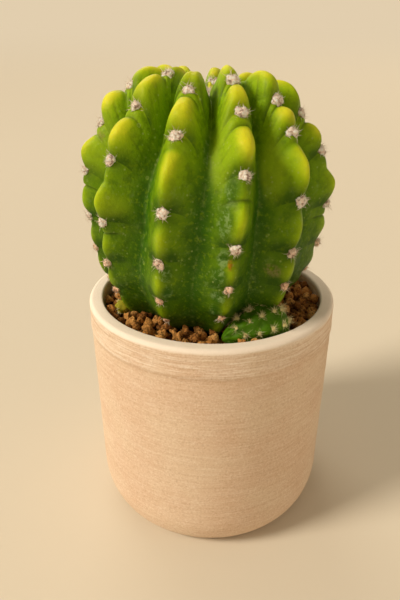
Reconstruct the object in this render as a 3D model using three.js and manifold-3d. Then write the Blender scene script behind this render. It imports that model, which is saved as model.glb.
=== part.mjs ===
// A ribbed globular cactus in a handmade clay pot, built from the pot up: pot, drainage net, gravel,
// soil, root ball, a dressing of clay granules, the stem with its felted areoles, and two young offsets.
// Millimetres, +Z up, origin at the centre of the pot's underside. The front of the plant faces -Y.
import * as THREE from "three";
import { mergeVertices } from "three/addons/utils/BufferGeometryUtils.js";
import Module from "manifold-3d";

const wasm = await Module();
wasm.setup();

// ---- Driving dimensions ----

const GAP = 0.4; // clearance between pieces that lie against each other
const TURNED_SIDES = 48; // sides of every turned piece, shared so that their facets stay parallel
const CURVE_STEPS = 3; // fineness of the rounded parts of an outline

const POT = {
  radius: 55,
  height: 106,
  wall: 5.8,
  floor: 7, // height of the inside floor
  footInset: 10, // how far the wall curves in at the foot
  footRise: 18, // height at which that curve has become the straight wall
  lip: 2.6, // rounding of the rim, outside and inside
  recess: 1.6, // depth of the hollow under the base
  recessRadius: 35,
  drainRadius: 8,
  notches: 3, // slots through the foot ring, which let water out
  notchWidth: 7,
};
const NET = { radius: 14, thickness: 0.8, pitch: 4.6, hole: 3.4 };
const GRAVEL_TOP = 20;
const SOIL_TOP = 96;
const DRESSING = { thickness: 4.4, ripple: 0.7, rings: 4 };
const ROOT = { topRadius: 22, middleRadius: 17, tipRadius: 6, length: 58 };

// The stem is described in polar form in the plane of each rib: a distance from the stem's centre for
// each angle from the crown, in steps of ANGLE_STEP degrees.
const STEM = {
  x: -2.2,
  y: 3,
  z: 148,
  notchRadius: [40.5, 53.5, 53.6, 52.4, 50.8, 55.4, 58.8, 58.8],
  valleyRadius: [39.5, 44.5, 42.5, 41.5, 42, 49.5, 56.3, 56.3],
  topAngle: 4,
  bottomAngle: 152,
  swelling: [0.21, 0.06], // height of a lobe against the length of its rib between two areoles
  neck: [0.18, 0.18, 0.22, 0.32, 0.27, 0.13, 0.1], // share of that length before the lobe sets in
  unevenness: 0.16, // by how much of its height one lobe may differ from the next
  chevron: [18, 4], // degrees by which a lobe's edge falls from crest to valley
  chevronCurve: 2.5, // above 1 that edge is level on the crest and steep in the valley
  bluntness: [2.5, 1.25], // above 1 the ribs have broad backs
  hollowness: [1.5, 1.6], // above 1 the flanks are hollow and the valleys wide
  lobeWidth: [0.9, 2.6], // above 1 the lobes keep to the rib's edge
  abruptness: [0.62, 1.25], // below 1 a lobe sets in with a step
  lobeRows: [0, 0.26, 0.5, 0.78], // shares of each lobe at which the skin is sampled
  columnsPerRib: 6,
};
const ANGLE_STEP = 25;
// The stem's pairs of figures hold at two angles: those of swelling, chevron and fullness at the shoulder
// and the waist, the others at the angles where the rib's section starts and ends to change.
const SHOULDER = 40;
const WAIST = 110;
const CREST_TOP = 32;
const CREST_FULL = 76;
const LOBE_SOFT = 66; // from here down the lobes of a rib set in softly, unless it has its own angle

// Each rib: azimuth from the front, positive to the right; lean of the crown end; how full it is at the
// shoulder and the waist; its areoles from the crown down. Where given, groove is the depth of the valley
// to its right, and sunk is by how much its crown end lies deeper and the angle at which that starts.
const RIBS = [
  {
    azimuth: -19, lean: 8.5, fullness: [1, 0.99], areoles: [15, 36, 55, 83, 105, 123, 137],
    groove: [0.95, 0.58], sunk: [6.5, 40], soft: 57,
  },
  { azimuth: 11.5, lean: 6.4, fullness: [1, 1], areoles: [13, 31, 46, 69, 97, 115, 131] },
  {
    azimuth: 39.5, lean: 3.2, fullness: [0.99, 1], areoles: [20, 41, 55, 81, 103, 118, 133],
    sunk: [4.5, 38], soft: 54,
  },
  {
    azimuth: 76.6, lean: -16, fullness: [0.95, 0.98], areoles: [17, 47, 65, 90, 111, 126, 139],
    sunk: [6, 48],
  },
  { azimuth: 108, lean: -9, fullness: [0.88, 0.97], areoles: [15, 34, 56, 80, 101, 118, 133] },
  { azimuth: 138, lean: -3, fullness: [0.92, 0.97], areoles: [18, 38, 60, 86, 107, 123, 136] },
  { azimuth: 168, lean: 3, fullness: [0.97, 0.98], areoles: [14, 33, 53, 77, 99, 116, 131] },
  { azimuth: 199, lean: 6, fullness: [0.98, 0.98], areoles: [17, 37, 58, 84, 105, 121, 135] },
  { azimuth: 229, lean: 4, fullness: [0.98, 0.97], areoles: [13, 32, 52, 75, 98, 116, 132] },
  { azimuth: 257, lean: 1, fullness: [0.97, 0.92], areoles: [16, 36, 60, 87, 108, 124, 137] },
  { azimuth: 282.8, lean: 2, fullness: [0.97, 0.99], areoles: [14, 34, 53, 75, 96, 112, 128] },
  { azimuth: 309.5, lean: 12, fullness: [0.99, 1], areoles: [8, 25, 44, 66, 92, 112, 127] },
];
// The areoles that are solids of their own, counted from the crown; the felt of the others is left out.
const SOLID_AREOLES = [1, 2, 3, 4];
const AREOLE = { radius: 2.5, height: 1.9, shrink: 0.09 }; // each one lower down is that much smaller

const WOOL = { radius: 6, height: 3, z: 188.8 };

// Offsets: club-shaped young stems, given by the two ends of their axis.
const LARGE_OFFSET = {
  base: new THREE.Vector3(3.5, -39.2, 102),
  tip: new THREE.Vector3(29.5, -31.2, 107),
  radius: 8,
  ribs: 8,
  ribDepth: 0.07,
};
const SMALL_OFFSET = {
  base: new THREE.Vector3(-37.8, -13.5, 99.5),
  tip: new THREE.Vector3(-39.2, -15.6, 106.5),
  radius: 3.1,
  ribs: 6,
  ribDepth: 0.06,
};

const MATERIALS = {
  clay: new THREE.MeshStandardMaterial({ color: 0xd9bc9a, roughness: 0.85, metalness: 0 }),
  net: new THREE.MeshStandardMaterial({ color: 0x2b2b29, roughness: 0.6, metalness: 0 }),
  gravel: new THREE.MeshStandardMaterial({ color: 0xb9ab93, roughness: 0.95, metalness: 0 }),
  soil: new THREE.MeshStandardMaterial({ color: 0x5a3b22, roughness: 0.95, metalness: 0 }),
  granules: new THREE.MeshStandardMaterial({ color: 0x9a6434, roughness: 0.95, metalness: 0 }),
  root: new THREE.MeshStandardMaterial({ color: 0xc9a877, roughness: 0.9, metalness: 0 }),
  skin: new THREE.MeshStandardMaterial({ color: 0x5f8a1c, roughness: 0.4, metalness: 0 }),
  felt: new THREE.MeshStandardMaterial({ color: 0xe6d8cc, roughness: 1, metalness: 0 }),
};

// ---- Helpers ----

const radians = THREE.MathUtils.degToRad;

/** The value at an angle of a table with one entry for each ANGLE_STEP, joined by a smooth curve. */
function alongTable(table, angle) {
  const last = table.length - 1;
  const place = THREE.MathUtils.clamp(angle / ANGLE_STEP, 0, last - 1e-4);
  const i = Math.floor(place);
  const before = i === 0 ? table[1] : table[i - 1]; // the curve is level at the crown
  const after = i + 2 > last ? 2 * table[last] - table[last - 1] : table[i + 2];
  const t = place - i;
  const [a, b, c, d] = [before, table[i], table[i + 1], after];
  const cubic = -a + 3 * b - 3 * c + d;
  const square = 2 * a - 5 * b + 4 * c - d;
  return 0.5 * (2 * b + (c - a) * t + square * t * t + cubic * t * t * t);
}

/** A closed surface of rings of points, from pointAt(row, column), with a fan of faces at each end. */
function closedSurface(rows, columns, pointAt, start, end) {
  const points = [start];
  for (let row = 0; row < rows; row++) {
    for (let column = 0; column < columns; column++) points.push(pointAt(row, column));
  }
  points.push(end);
  const at = (row, column) => 1 + row * columns + (column % columns);
  const faces = [];
  for (let column = 0; column < columns; column++) {
    faces.push(0, at(0, column), at(0, column + 1));
    faces.push(points.length - 1, at(rows - 1, column + 1), at(rows - 1, column));
    for (let row = 0; row < rows - 1; row++) {
      const [a, b] = [at(row, column), at(row, column + 1)];
      const [c, d] = [at(row + 1, column), at(row + 1, column + 1)];
      faces.push(a, c, d, a, d, b);
    }
  }
  return new THREE.BufferGeometry().setFromPoints(points).setIndex(faces);
}

/** A solid of revolution about Z from a closed or axis-to-axis outline of [radius, height] points. */
function turned(points, sides = TURNED_SIDES) {
  return new THREE.LatheGeometry(points, sides).rotateX(Math.PI / 2);
}

/** The geometry as a manifold-3d solid. */
function solidOf(geometry) {
  const bare = new THREE.BufferGeometry();
  bare.setAttribute("position", geometry.getAttribute("position"));
  bare.setIndex(geometry.index);
  const merged = mergeVertices(bare, 1e-4);
  return new wasm.Manifold(
    new wasm.Mesh({
      numProp: 3,
      vertProperties: merged.getAttribute("position").array,
      triVerts: new Uint32Array(merged.index.array),
    }),
  );
}

/** The largest single body of a manifold-3d solid, as a geometry. */
function geometryOf(solid) {
  const bodies = solid.decompose().sort((a, b) => b.volume() - a.volume());
  const mesh = bodies[0].getMesh();
  return new THREE.BufferGeometry()
    .setAttribute("position", new THREE.BufferAttribute(mesh.vertProperties, 3))
    .setIndex(new THREE.BufferAttribute(mesh.triVerts, 1));
}

/** What is left of a geometry once the solids are cut out of it. */
function cut(geometry, ...solids) {
  return geometryOf(solids.reduce((left, solid) => left.subtract(solid), solidOf(geometry)));
}

const plant = new THREE.Group();

/** Adds a named piece to the plant. */
function add(name, geometry, material) {
  const mesh = new THREE.Mesh(geometry, material);
  mesh.name = name;
  plant.add(mesh);
}

// ---- The pot ----

/** The pot's inside outline from its rim down to the floor, moved inwards by a clearance. */
function insideOutline(clearance, top) {
  const radius = POT.radius - POT.wall - clearance;
  const corner = { across: 11, up: 19 };
  const path = new THREE.Path().moveTo(radius, top);
  path.lineTo(radius, POT.floor + corner.up);
  path.absellipse(
    radius - corner.across, POT.floor + corner.up, corner.across, corner.up - clearance,
    0, -Math.PI / 2, true,
  );
  return path.getPoints(CURVE_STEPS);
}

function potGeometry() {
  const { radius, height, lip, wall } = POT;
  const rim = height - lip;
  const outside = new THREE.Path().moveTo(POT.drainRadius, POT.recess);
  outside.lineTo(POT.recessRadius, POT.recess);
  outside.lineTo(POT.recessRadius + POT.recess, 0);
  outside.lineTo(radius - POT.footInset, 0);
  outside.absellipse(
    radius - POT.footInset, POT.footRise, POT.footInset, POT.footRise, -Math.PI / 2, 0, false,
  );
  outside.lineTo(radius, rim);
  outside.absarc(radius - lip, rim, lip, 0, Math.PI / 2, false);
  outside.absarc(radius - wall + lip, rim, lip, Math.PI / 2, Math.PI, false);
  const points = [...outside.getPoints(CURVE_STEPS), ...insideOutline(0, rim).slice(1)];
  points.push(new THREE.Vector2(POT.drainRadius, POT.floor));
  points.push(points[0].clone());
  const notches = Array.from({ length: POT.notches }, (_, i) => {
    const reach = POT.radius - POT.recessRadius + 4;
    const slot = new THREE.BoxGeometry(reach, POT.notchWidth, 2 * POT.recess);
    slot.translate(POT.recessRadius - 2 + reach / 2, 0, 0);
    return solidOf(slot.rotateZ(Math.PI / 2 + (i * 2 * Math.PI) / POT.notches));
  });
  return cut(turned(points), ...notches);
}

// ---- What the pot holds ----

/** A round net of square holes that keeps the gravel off the drain hole. */
function netGeometry() {
  const bottom = POT.floor + GAP;
  const disc = new THREE.CylinderGeometry(NET.radius, NET.radius, NET.thickness, TURNED_SIDES);
  disc.rotateX(Math.PI / 2).translate(0, 0, bottom + NET.thickness / 2);
  const holes = [];
  const reach = Math.floor(NET.radius / NET.pitch);
  for (let i = -reach; i <= reach; i++) {
    for (let j = -reach; j <= reach; j++) {
      const [x, y] = [i * NET.pitch, j * NET.pitch];
      if (Math.hypot(x, y) + NET.hole > NET.radius) continue;
      holes.push(solidOf(new THREE.BoxGeometry(NET.hole, NET.hole, 4).translate(x, y, bottom)));
    }
  }
  return cut(disc, ...holes);
}

function gravelGeometry() {
  const overNet = POT.floor + NET.thickness + 2 * GAP;
  const points = [new THREE.Vector2(0, overNet)];
  points.push(new THREE.Vector2(NET.radius + GAP, overNet));
  points.push(new THREE.Vector2(NET.radius + GAP, POT.floor + GAP));
  const wall = insideOutline(GAP, GRAVEL_TOP + 30).reverse();
  points.push(...wall.filter((p) => p.y < GRAVEL_TOP - 1));
  const edge = alongOutline(wall, GRAVEL_TOP);
  points.push(new THREE.Vector2(edge, GRAVEL_TOP), new THREE.Vector2(0, GRAVEL_TOP));
  return turned(points);
}

/** The radius at which an outline that runs upwards passes a height. */
function alongOutline(points, height) {
  const i = points.findIndex((p) => p.y > height);
  const share = (height - points[i - 1].y) / (points[i].y - points[i - 1].y);
  return THREE.MathUtils.lerp(points[i - 1].x, points[i].x, share);
}

/** The root ball's outline, from its tip to its top, moved outwards by a clearance. */
function rootOutline(clearance) {
  const tip = SOIL_TOP - ROOT.length;
  const curve = new THREE.SplineCurve([
    new THREE.Vector2(ROOT.tipRadius + clearance, tip),
    new THREE.Vector2(ROOT.middleRadius + clearance, tip + ROOT.length * 0.55),
    new THREE.Vector2(ROOT.topRadius + clearance, SOIL_TOP - GAP),
  ]);
  return [new THREE.Vector2(0, tip - 2 - clearance), ...curve.getPoints(4)];
}

function soilGeometry() {
  const bottom = GRAVEL_TOP + GAP;
  const wall = insideOutline(GAP, SOIL_TOP).reverse();
  const points = [new THREE.Vector2(0, bottom), new THREE.Vector2(alongOutline(wall, bottom), bottom)];
  points.push(...wall.filter((p) => p.y > bottom + 1));
  const cavity = rootOutline(GAP).reverse();
  points.push(new THREE.Vector2(cavity[0].x, SOIL_TOP), ...cavity.slice(1));
  return turned(points);
}

function rootGeometry() {
  return turned([...rootOutline(0), new THREE.Vector2(0, SOIL_TOP - GAP)]);
}

/** The layer of granules as one slightly rippled sheet, before the plants are cut out of it. */
function dressingGeometry() {
  const bottom = SOIL_TOP + GAP;
  const reach = POT.radius - POT.wall - GAP;
  return closedSurface(
    DRESSING.rings + 1,
    TURNED_SIDES,
    (row, column) => {
      const outermost = row >= DRESSING.rings - 1;
      const r = outermost ? reach : (reach * (row + 1)) / DRESSING.rings;
      const turn = (column / TURNED_SIDES) * 2 * Math.PI;
      const ripple = DRESSING.ripple * Math.sin(7 * turn + 2 * row) * Math.cos(5 * turn - row);
      const z = row === DRESSING.rings ? bottom : bottom + DRESSING.thickness + ripple;
      return new THREE.Vector3(r * Math.sin(turn), r * Math.cos(turn), z);
    },
    new THREE.Vector3(0, 0, bottom + DRESSING.thickness),
    new THREE.Vector3(0, 0, bottom),
  ).scale(1, -1, 1);
}

// ---- The stem ----

/** Half the angle from a rib to its neighbour on the given side, in degrees, at an angle from the crown. */
function halfGap(rib, side, angle) {
  const next = (rib + side + RIBS.length) % RIBS.length;
  const whole = crestAzimuth(next, angle) - crestAzimuth(rib, angle);
  return THREE.MathUtils.euclideanModulo(side * whole, 360) / 2;
}

function crestAzimuth(rib, angle) {
  return RIBS[rib].azimuth + RIBS[rib].lean * Math.cos(radians(angle));
}

/** A rib's areoles with the angles at which its first lobe starts and its last one ends. */
function lobeEnds(rib) {
  return [STEM.topAngle, ...RIBS[rib].areoles, STEM.bottomAngle];
}

/** The value of a pair of figures at an angle from the crown, which it passes between two others. */
function between([first, last], angle, from = SHOULDER, to = WAIST) {
  return THREE.MathUtils.lerp(first, last, THREE.MathUtils.smoothstep(angle, from, to));
}

/** How far a rib swells out between its areoles; across is a share of the way from crest to valley. */
function swelling(rib, angle, across) {
  const ends = lobeEnds(rib);
  const place = angle - between(STEM.chevron, angle) * across ** STEM.chevronCurve;
  const next = ends.findIndex((a) => a > place);
  if (next < 1) return 0;
  const [from, to] = [ends[next - 1], ends[next]];
  const length = radians(to - from) * alongTable(STEM.notchRadius, (from + to) / 2);
  const { soft = LOBE_SOFT } = RIBS[rib];
  const shorter = soft < LOBE_SOFT ? 0.4 * THREE.MathUtils.smoothstep(angle, soft - 12, soft) : 0;
  const neck = alongTable(STEM.neck, angle) * (1 - shorter);
  const share = (place - from) / (to - from);
  const height = between(STEM.swelling, angle) * length;
  if (share < neck) return 0.15 * height * Math.sin((Math.PI * share) / neck);
  const body = Math.sin(Math.PI * ((share - neck) / (1 - neck)) ** 0.95);
  const uneven = 1 + STEM.unevenness * Math.sin(2.4 * rib + 1.7 * (next - 1));
  return height * body ** between(STEM.abruptness, angle, CREST_TOP, soft) * uneven;
}

/** The rib's cross-section: 1 on its crest and 0 in the valleys. */
function ribSection(across, angle) {
  const at = (pair) => between(pair, angle, CREST_TOP, CREST_FULL);
  return (1 - across ** at(STEM.bluntness)) ** at(STEM.hollowness);
}

/** A value that every rib has its own of, which in a valley is the mean of both ribs. */
function shared(rib, across, valueOf) {
  const next = (rib + Math.sign(across) + RIBS.length) % RIBS.length;
  return THREE.MathUtils.lerp(valueOf(RIBS[rib]), valueOf(RIBS[next]), Math.abs(across) / 2);
}

/** The stem's distance from its centre; across is -1 and 1 in a rib's two valleys and 0 on its crest. */
function stemRadius(rib, across, angle) {
  const side = Math.abs(across);
  const valley = alongTable(STEM.valleyRadius, angle);
  const notch = alongTable(STEM.notchRadius, angle);
  const crest = ribSection(side, angle);
  const { groove = [1, 1] } = RIBS[across < 0 ? (rib + RIBS.length - 1) % RIBS.length : rib];
  const depth = (notch - valley) * between(groove, angle, CREST_TOP, CREST_FULL);
  const width = between(STEM.lobeWidth, angle, CREST_TOP, CREST_FULL);
  const lobe = swelling(rib, angle, side) * crest ** width;
  const full = shared(rib, across, ({ fullness }) => between(fullness, angle));
  const sunk = shared(rib, across, ({ sunk: [deep, start] = [0, 20] }) => {
    const away = THREE.MathUtils.smoothstep(angle, 3, 13); // the crown itself stays level
    return deep * away * (1 - THREE.MathUtils.smoothstep(angle, 0.4 * start, start));
  });
  return (notch - depth * (1 - crest) + lobe) * full - sunk;
}

/** A point of the stem's skin, moved outwards by a clearance. */
function stemPoint(rib, across, angle, clearance = 0) {
  const radius = stemRadius(rib, across, angle) + clearance;
  const turn = radians(crestAzimuth(rib, angle) + across * halfGap(rib, Math.sign(across) || 1, angle));
  const out = radius * Math.sin(radians(angle));
  return new THREE.Vector3(
    STEM.x + out * Math.sin(turn),
    STEM.y - out * Math.cos(turn),
    STEM.z + radius * Math.cos(radians(angle)),
  );
}

/** The angle from the crown of a row of points, which follows the edges of the lobes. */
function rowAngle(rib, across, row) {
  const lobe = Math.floor(row / STEM.lobeRows.length);
  const share = STEM.lobeRows[row % STEM.lobeRows.length];
  const next = (rib + Math.sign(across) + RIBS.length) % RIBS.length;
  const [own, other] = [rib, next].map((i) => {
    const ends = lobeEnds(i);
    return share === 0 ? ends[lobe] : THREE.MathUtils.lerp(ends[lobe], ends[lobe + 1], share);
  });
  const along = THREE.MathUtils.lerp(own, other, Math.abs(across) / 2);
  const inside = Math.min(1, row / 4, (stemRows() - 1 - row) / 4);
  return along + between(STEM.chevron, along) * Math.abs(across) ** STEM.chevronCurve * inside;
}

function stemRows() {
  return lobeEnds(0).length * STEM.lobeRows.length - STEM.lobeRows.length + 1;
}

/** The whole stem, cut off level where it stands on its roots. */
function stemGeometry(clearance = 0) {
  const perRib = STEM.columnsPerRib;
  const floor = SOIL_TOP + GAP - clearance;
  return closedSurface(
    stemRows(),
    RIBS.length * perRib,
    (row, column) => {
      const rib = Math.floor(column / perRib);
      const across = -1 + (2 * (column % perRib)) / perRib;
      const point = stemPoint(rib, across, rowAngle(rib, across, row), clearance);
      return point.setZ(row === stemRows() - 1 ? floor : Math.max(point.z, floor));
    },
    new THREE.Vector3(STEM.x, STEM.y, STEM.z + STEM.valleyRadius[0] + clearance),
    new THREE.Vector3(STEM.x, STEM.y, floor),
  );
}

/** A squashed ball, which stands for a cushion of felt. */
function cushion(radius, height, sides = 6) {
  return new THREE.SphereGeometry(radius, sides, 4).rotateX(Math.PI / 2).scale(1, 1, height / radius);
}

/** The felted cushion of one areole, standing on the skin in its notch. */
function areoleGeometry(rib, place, around) {
  const angle = RIBS[rib].areoles[place];
  const size = 1 - AREOLE.shrink * place;
  const seat = stemPoint(rib, 0, angle, 0.3 * AREOLE.height);
  const outwards = seat.clone().sub(new THREE.Vector3(STEM.x, STEM.y, STEM.z)).normalize();
  const turn = new THREE.Quaternion().setFromUnitVectors(new THREE.Vector3(0, 0, 1), outwards);
  const felt = cushion(AREOLE.radius * size, AREOLE.height * size);
  return cut(felt.applyQuaternion(turn).translate(seat.x, seat.y, seat.z), around);
}

// ---- The offsets ----

/** A young club-shaped stem with low ribs, along the line from its base to its tip. */
function offsetGeometry({ base, tip, radius, ribs, ribDepth }, clearance = 0) {
  const axis = tip.clone().sub(base);
  const length = axis.length();
  const rows = 10;
  const columns = ribs * 3;
  const young = closedSurface(
    rows,
    columns,
    (row, column) => {
      const share = (row + 0.5) / rows;
      const club = radius * Math.sin(Math.PI * share ** 0.62) ** 0.55;
      const r = club * (1 + ribDepth * Math.cos((2 * Math.PI * column) / 3)) + clearance;
      const turn = (2 * Math.PI * column) / columns;
      const along = length * (1 - share);
      return new THREE.Vector3(r * Math.cos(turn), r * Math.sin(turn), along);
    },
    new THREE.Vector3(0, 0, length + clearance),
    new THREE.Vector3(0, 0, -clearance),
  );
  const turn = new THREE.Quaternion().setFromUnitVectors(new THREE.Vector3(0, 0, 1), axis.normalize());
  return young.applyQuaternion(turn).translate(base.x, base.y, base.z);
}

/** Everything below a height, for cutting off what would sink into the soil. */
function groundBelow(height) {
  const side = 3 * POT.radius;
  return solidOf(new THREE.BoxGeometry(side, side, side).translate(0, 0, height - side / 2));
}

// ---- Assembly ----

add("pot", potGeometry(), MATERIALS.clay);
add("drainage_net", netGeometry(), MATERIALS.net);
add("drainage_gravel", gravelGeometry(), MATERIALS.gravel);
add("soil_mix", soilGeometry(), MATERIALS.soil);
add("root_ball", rootGeometry(), MATERIALS.root);

const aroundStem = solidOf(stemGeometry(GAP));
const aroundLarge = solidOf(offsetGeometry(LARGE_OFFSET, GAP));
const aroundSmall = solidOf(offsetGeometry(SMALL_OFFSET, GAP));
const soilSurface = groundBelow(SOIL_TOP + GAP);

add("top_dressing", cut(dressingGeometry(), aroundStem, aroundLarge, aroundSmall), MATERIALS.granules);
add("stem", stemGeometry(), MATERIALS.skin);
add("large_offset", cut(offsetGeometry(LARGE_OFFSET), aroundStem, soilSurface), MATERIALS.skin);
add("small_offset", cut(offsetGeometry(SMALL_OFFSET), aroundStem, soilSurface), MATERIALS.skin);
const wool = cushion(WOOL.radius, WOOL.height, 9).translate(STEM.x, STEM.y, WOOL.z);
add("crown_wool", cut(wool, aroundStem), MATERIALS.felt);

RIBS.forEach((_, rib) => {
  for (const place of SOLID_AREOLES) {
    const name = `areole_rib${String(rib + 1).padStart(2, "0")}_${place}`;
    add(name, areoleGeometry(rib, place, aroundStem), MATERIALS.felt);
  }
});

export default plant;
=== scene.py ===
"""The looks of a ribbed globular cactus in a hand-turned clay pot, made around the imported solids.

Shapes are worked out in millimetres and become meshes in metres. +Z is up, and the front of the
plant faces -Y. Azimuths run from the front, positive to the viewer's right. Angles on the stem are
degrees from the middle of its crown.
"""

import logging
import math
from collections.abc import Sequence
from dataclasses import dataclass, field
from enum import Enum

import bpy
import numpy as np
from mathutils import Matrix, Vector


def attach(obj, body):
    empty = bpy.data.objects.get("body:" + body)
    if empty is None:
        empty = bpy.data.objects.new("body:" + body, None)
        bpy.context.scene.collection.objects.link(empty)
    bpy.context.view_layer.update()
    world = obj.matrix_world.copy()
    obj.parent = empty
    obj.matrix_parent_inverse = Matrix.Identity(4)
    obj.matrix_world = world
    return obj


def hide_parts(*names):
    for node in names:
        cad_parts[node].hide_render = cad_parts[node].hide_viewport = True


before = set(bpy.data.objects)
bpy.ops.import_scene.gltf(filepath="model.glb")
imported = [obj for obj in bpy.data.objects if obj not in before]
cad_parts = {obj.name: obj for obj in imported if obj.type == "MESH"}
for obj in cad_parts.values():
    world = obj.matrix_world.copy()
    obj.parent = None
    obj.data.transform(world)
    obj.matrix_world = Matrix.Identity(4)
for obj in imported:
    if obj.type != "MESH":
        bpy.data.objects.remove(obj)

LOG = logging.getLogger("cactus")
MM = 0.001
FULL_TURN = 2 * math.pi
BODY = "root"
BED = 96.4  # height at which the stem and the offsets end, hidden in the dressing

Array = np.ndarray
Pair = tuple[float, float]
Triple = tuple[float, float, float]


# ---- Nodes ----


class Wire:
    """An output socket that takes part in arithmetic; each operation adds a Math node."""

    def __init__(self, graph: "Graph", socket: bpy.types.NodeSocket) -> None:
        """Wraps a socket of a graph."""
        self.graph = graph
        self.socket = socket

    def out(self, name: str) -> "Wire":
        """Another output of the same node."""
        return Wire(self.graph, self.socket.node.outputs[name])

    def __add__(self, other: "Wire | float") -> "Wire":
        """self + other."""
        return self.graph.math("ADD", self, other)

    __radd__ = __add__

    def __sub__(self, other: "Wire | float") -> "Wire":
        """self - other."""
        return self.graph.math("SUBTRACT", self, other)

    def __rsub__(self, other: float) -> "Wire":
        """other - self."""
        return self.graph.math("SUBTRACT", other, self)

    def __mul__(self, other: "Wire | float") -> "Wire":
        """self * other."""
        return self.graph.math("MULTIPLY", self, other)

    __rmul__ = __mul__

    def __truediv__(self, other: "Wire | float") -> "Wire":
        """self / other."""
        return self.graph.math("DIVIDE", self, other)

    def __pow__(self, other: "Wire | float") -> "Wire":
        """self ** other."""
        return self.graph.math("POWER", self, other)

    def step(self, low: float, high: float) -> "Wire":
        """A smooth step.

        Args:
            low: Where it leaves 0.
            high: Where it reaches 1; this may be the smaller of the two.

        Returns:
            The step, from 0 to 1.
        """
        turned = low > high
        ends = (high, low) if turned else (low, high)
        outs = (1.0, 0.0) if turned else (0.0, 1.0)
        return self.graph.node(
            "ShaderNodeMapRange", settings={"interpolation_type": "SMOOTHSTEP"},
            Value=self, From_Min=ends[0], From_Max=ends[1], To_Min=outs[0], To_Max=outs[1],
        )


Feed = Wire | float | int | str | tuple | bpy.types.ID


class Graph:
    """Adds nodes to a shader tree or a geometry tree."""

    def __init__(self, tree: bpy.types.NodeTree) -> None:
        """Works on the given tree."""
        self.tree = tree

    def node(
        self, kind: str, *values: Feed, settings: dict[str, object] | None = None,
        output: str | None = None, **inputs: Feed,
    ) -> Wire:
        """Adds one node.

        Args:
            kind: The node's type.
            values: Values or wires for its first sockets, in order.
            settings: Its own properties, which are set first.
            output: The name of the output to return, if it isn't the first one in use.
            inputs: Values or wires for its sockets by name, with _ for a space.

        Returns:
            The wire of that output, or of the node's first input if it has no output.
        """
        made = self.tree.nodes.new(kind)
        for name, value in (settings or {}).items():
            setattr(made, name, value)
        sockets = [*zip(made.inputs, values)]
        sockets += [(self._open(made.inputs, k.replace("_", " ")), v) for k, v in inputs.items()]
        for socket, value in sockets:
            if isinstance(value, Wire):
                self.tree.links.new(value.socket, socket)
            else:
                socket.default_value = value
        if not made.outputs:
            return Wire(self, made.inputs[0])
        return Wire(self, made.outputs[output] if output else self._open(made.outputs))

    @staticmethod
    def _open(
        sockets: Sequence[bpy.types.NodeSocket], name: str | None = None
    ) -> bpy.types.NodeSocket:
        """The first socket in use, of the given name if there is one."""
        return next(s for s in sockets if s.enabled and name in (None, s.name))

    def math(self, operation: str, *values: Wire | float) -> Wire:
        """A Math node on values in order."""
        return self.node("ShaderNodeMath", *values, settings={"operation": operation})

    def vector(self, operation: str, *values: Feed, output: str | None = None) -> Wire:
        """A Vector Math node on values in order."""
        settings = {"operation": operation}
        return self.node("ShaderNodeVectorMath", *values, settings=settings, output=output)

    def scaled(self, vector: Wire, scale: Wire | float) -> Wire:
        """A vector times a number."""
        settings = {"operation": "SCALE"}
        return self.node("ShaderNodeVectorMath", settings=settings, Vector=vector, Scale=scale)

    def xyz(self, x: Wire | float, y: Wire | float, z: Wire | float) -> Wire:
        """A vector from its three parts."""
        return self.node("ShaderNodeCombineXYZ", x, y, z)

    def parts(self, vector: Wire) -> tuple[Wire, Wire, Wire]:
        """The three parts of a vector."""
        x = self.node("ShaderNodeSeparateXYZ", vector)
        return x, x.out("Y"), x.out("Z")

    def mix(self, share: Wire | float, first: Feed, second: Feed) -> Wire:
        """A colour between two others."""
        settings = {"data_type": "RGBA"}
        return self.node("ShaderNodeMix", settings=settings, Factor=share, A=first, B=second)

    def noise(self, at: Wire, size: float, detail: float = 2.0, rough: float = 0.5) -> Wire:
        """Noise from 0 to 1 with features of about the given size in millimetres."""
        scale = 1.0 / (size * MM)
        return self.node(
            "ShaderNodeTexNoise", Vector=at, Scale=scale, Detail=detail, Roughness=rough
        )

    def cells(self, at: Wire, size: float) -> Wire:
        """The distance to the nearest of scattered points about size millimetres apart."""
        return self.node("ShaderNodeTexVoronoi", Vector=at, Scale=1.0 / (size * MM))

    def attribute(self, name: str) -> Wire:
        """A number that is stored on the mesh."""
        settings = {"attribute_name": name}
        return self.node("ShaderNodeAttribute", settings=settings, output="Fac")

    def bump(self, height: Wire, depth: float, strength: float) -> Wire:
        """A Bump node for relief of the given depth in millimetres."""
        return self.node("ShaderNodeBump", Height=height, Distance=depth * MM, Strength=strength)

    def principled(
        self, base: Feed, rough: Feed, normal: Wire | None = None, **constants: Feed
    ) -> Wire:
        """A Principled shader; the constants are its other sockets by name."""
        bumped = {} if normal is None else {"Normal": normal}
        return self.node(
            "ShaderNodeBsdfPrincipled", Base_Color=base, Roughness=rough, **bumped, **constants
        )


def colour(code: str) -> tuple[float, float, float, float]:
    """A hexadecimal screen colour in linear light.

    Args:
        code: The colour, as # and six digits.

    Returns:
        Red, green, blue and alpha.
    """
    parts = [int(code[i : i + 2], 16) / 255 for i in (1, 3, 5)]
    linear = [p / 12.92 if p <= 0.04045 else ((p + 0.055) / 1.055) ** 2.4 for p in parts]
    return (*linear, 1.0)


class Paint:
    """A colour that is built up in coats."""

    def __init__(self, graph: Graph, ground: str) -> None:
        """Starts with an even ground."""
        self.graph = graph
        self.tone: Feed = colour(ground)

    def coat(self, cover: Wire | float, tone: str | Wire) -> None:
        """Lays a colour on; cover runs from 0, where it stays bare, to 1, where it is hidden."""
        top = colour(tone) if isinstance(tone, str) else tone
        self.tone = self.graph.mix(cover, self.tone, top)


# ---- Finishes ----


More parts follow.
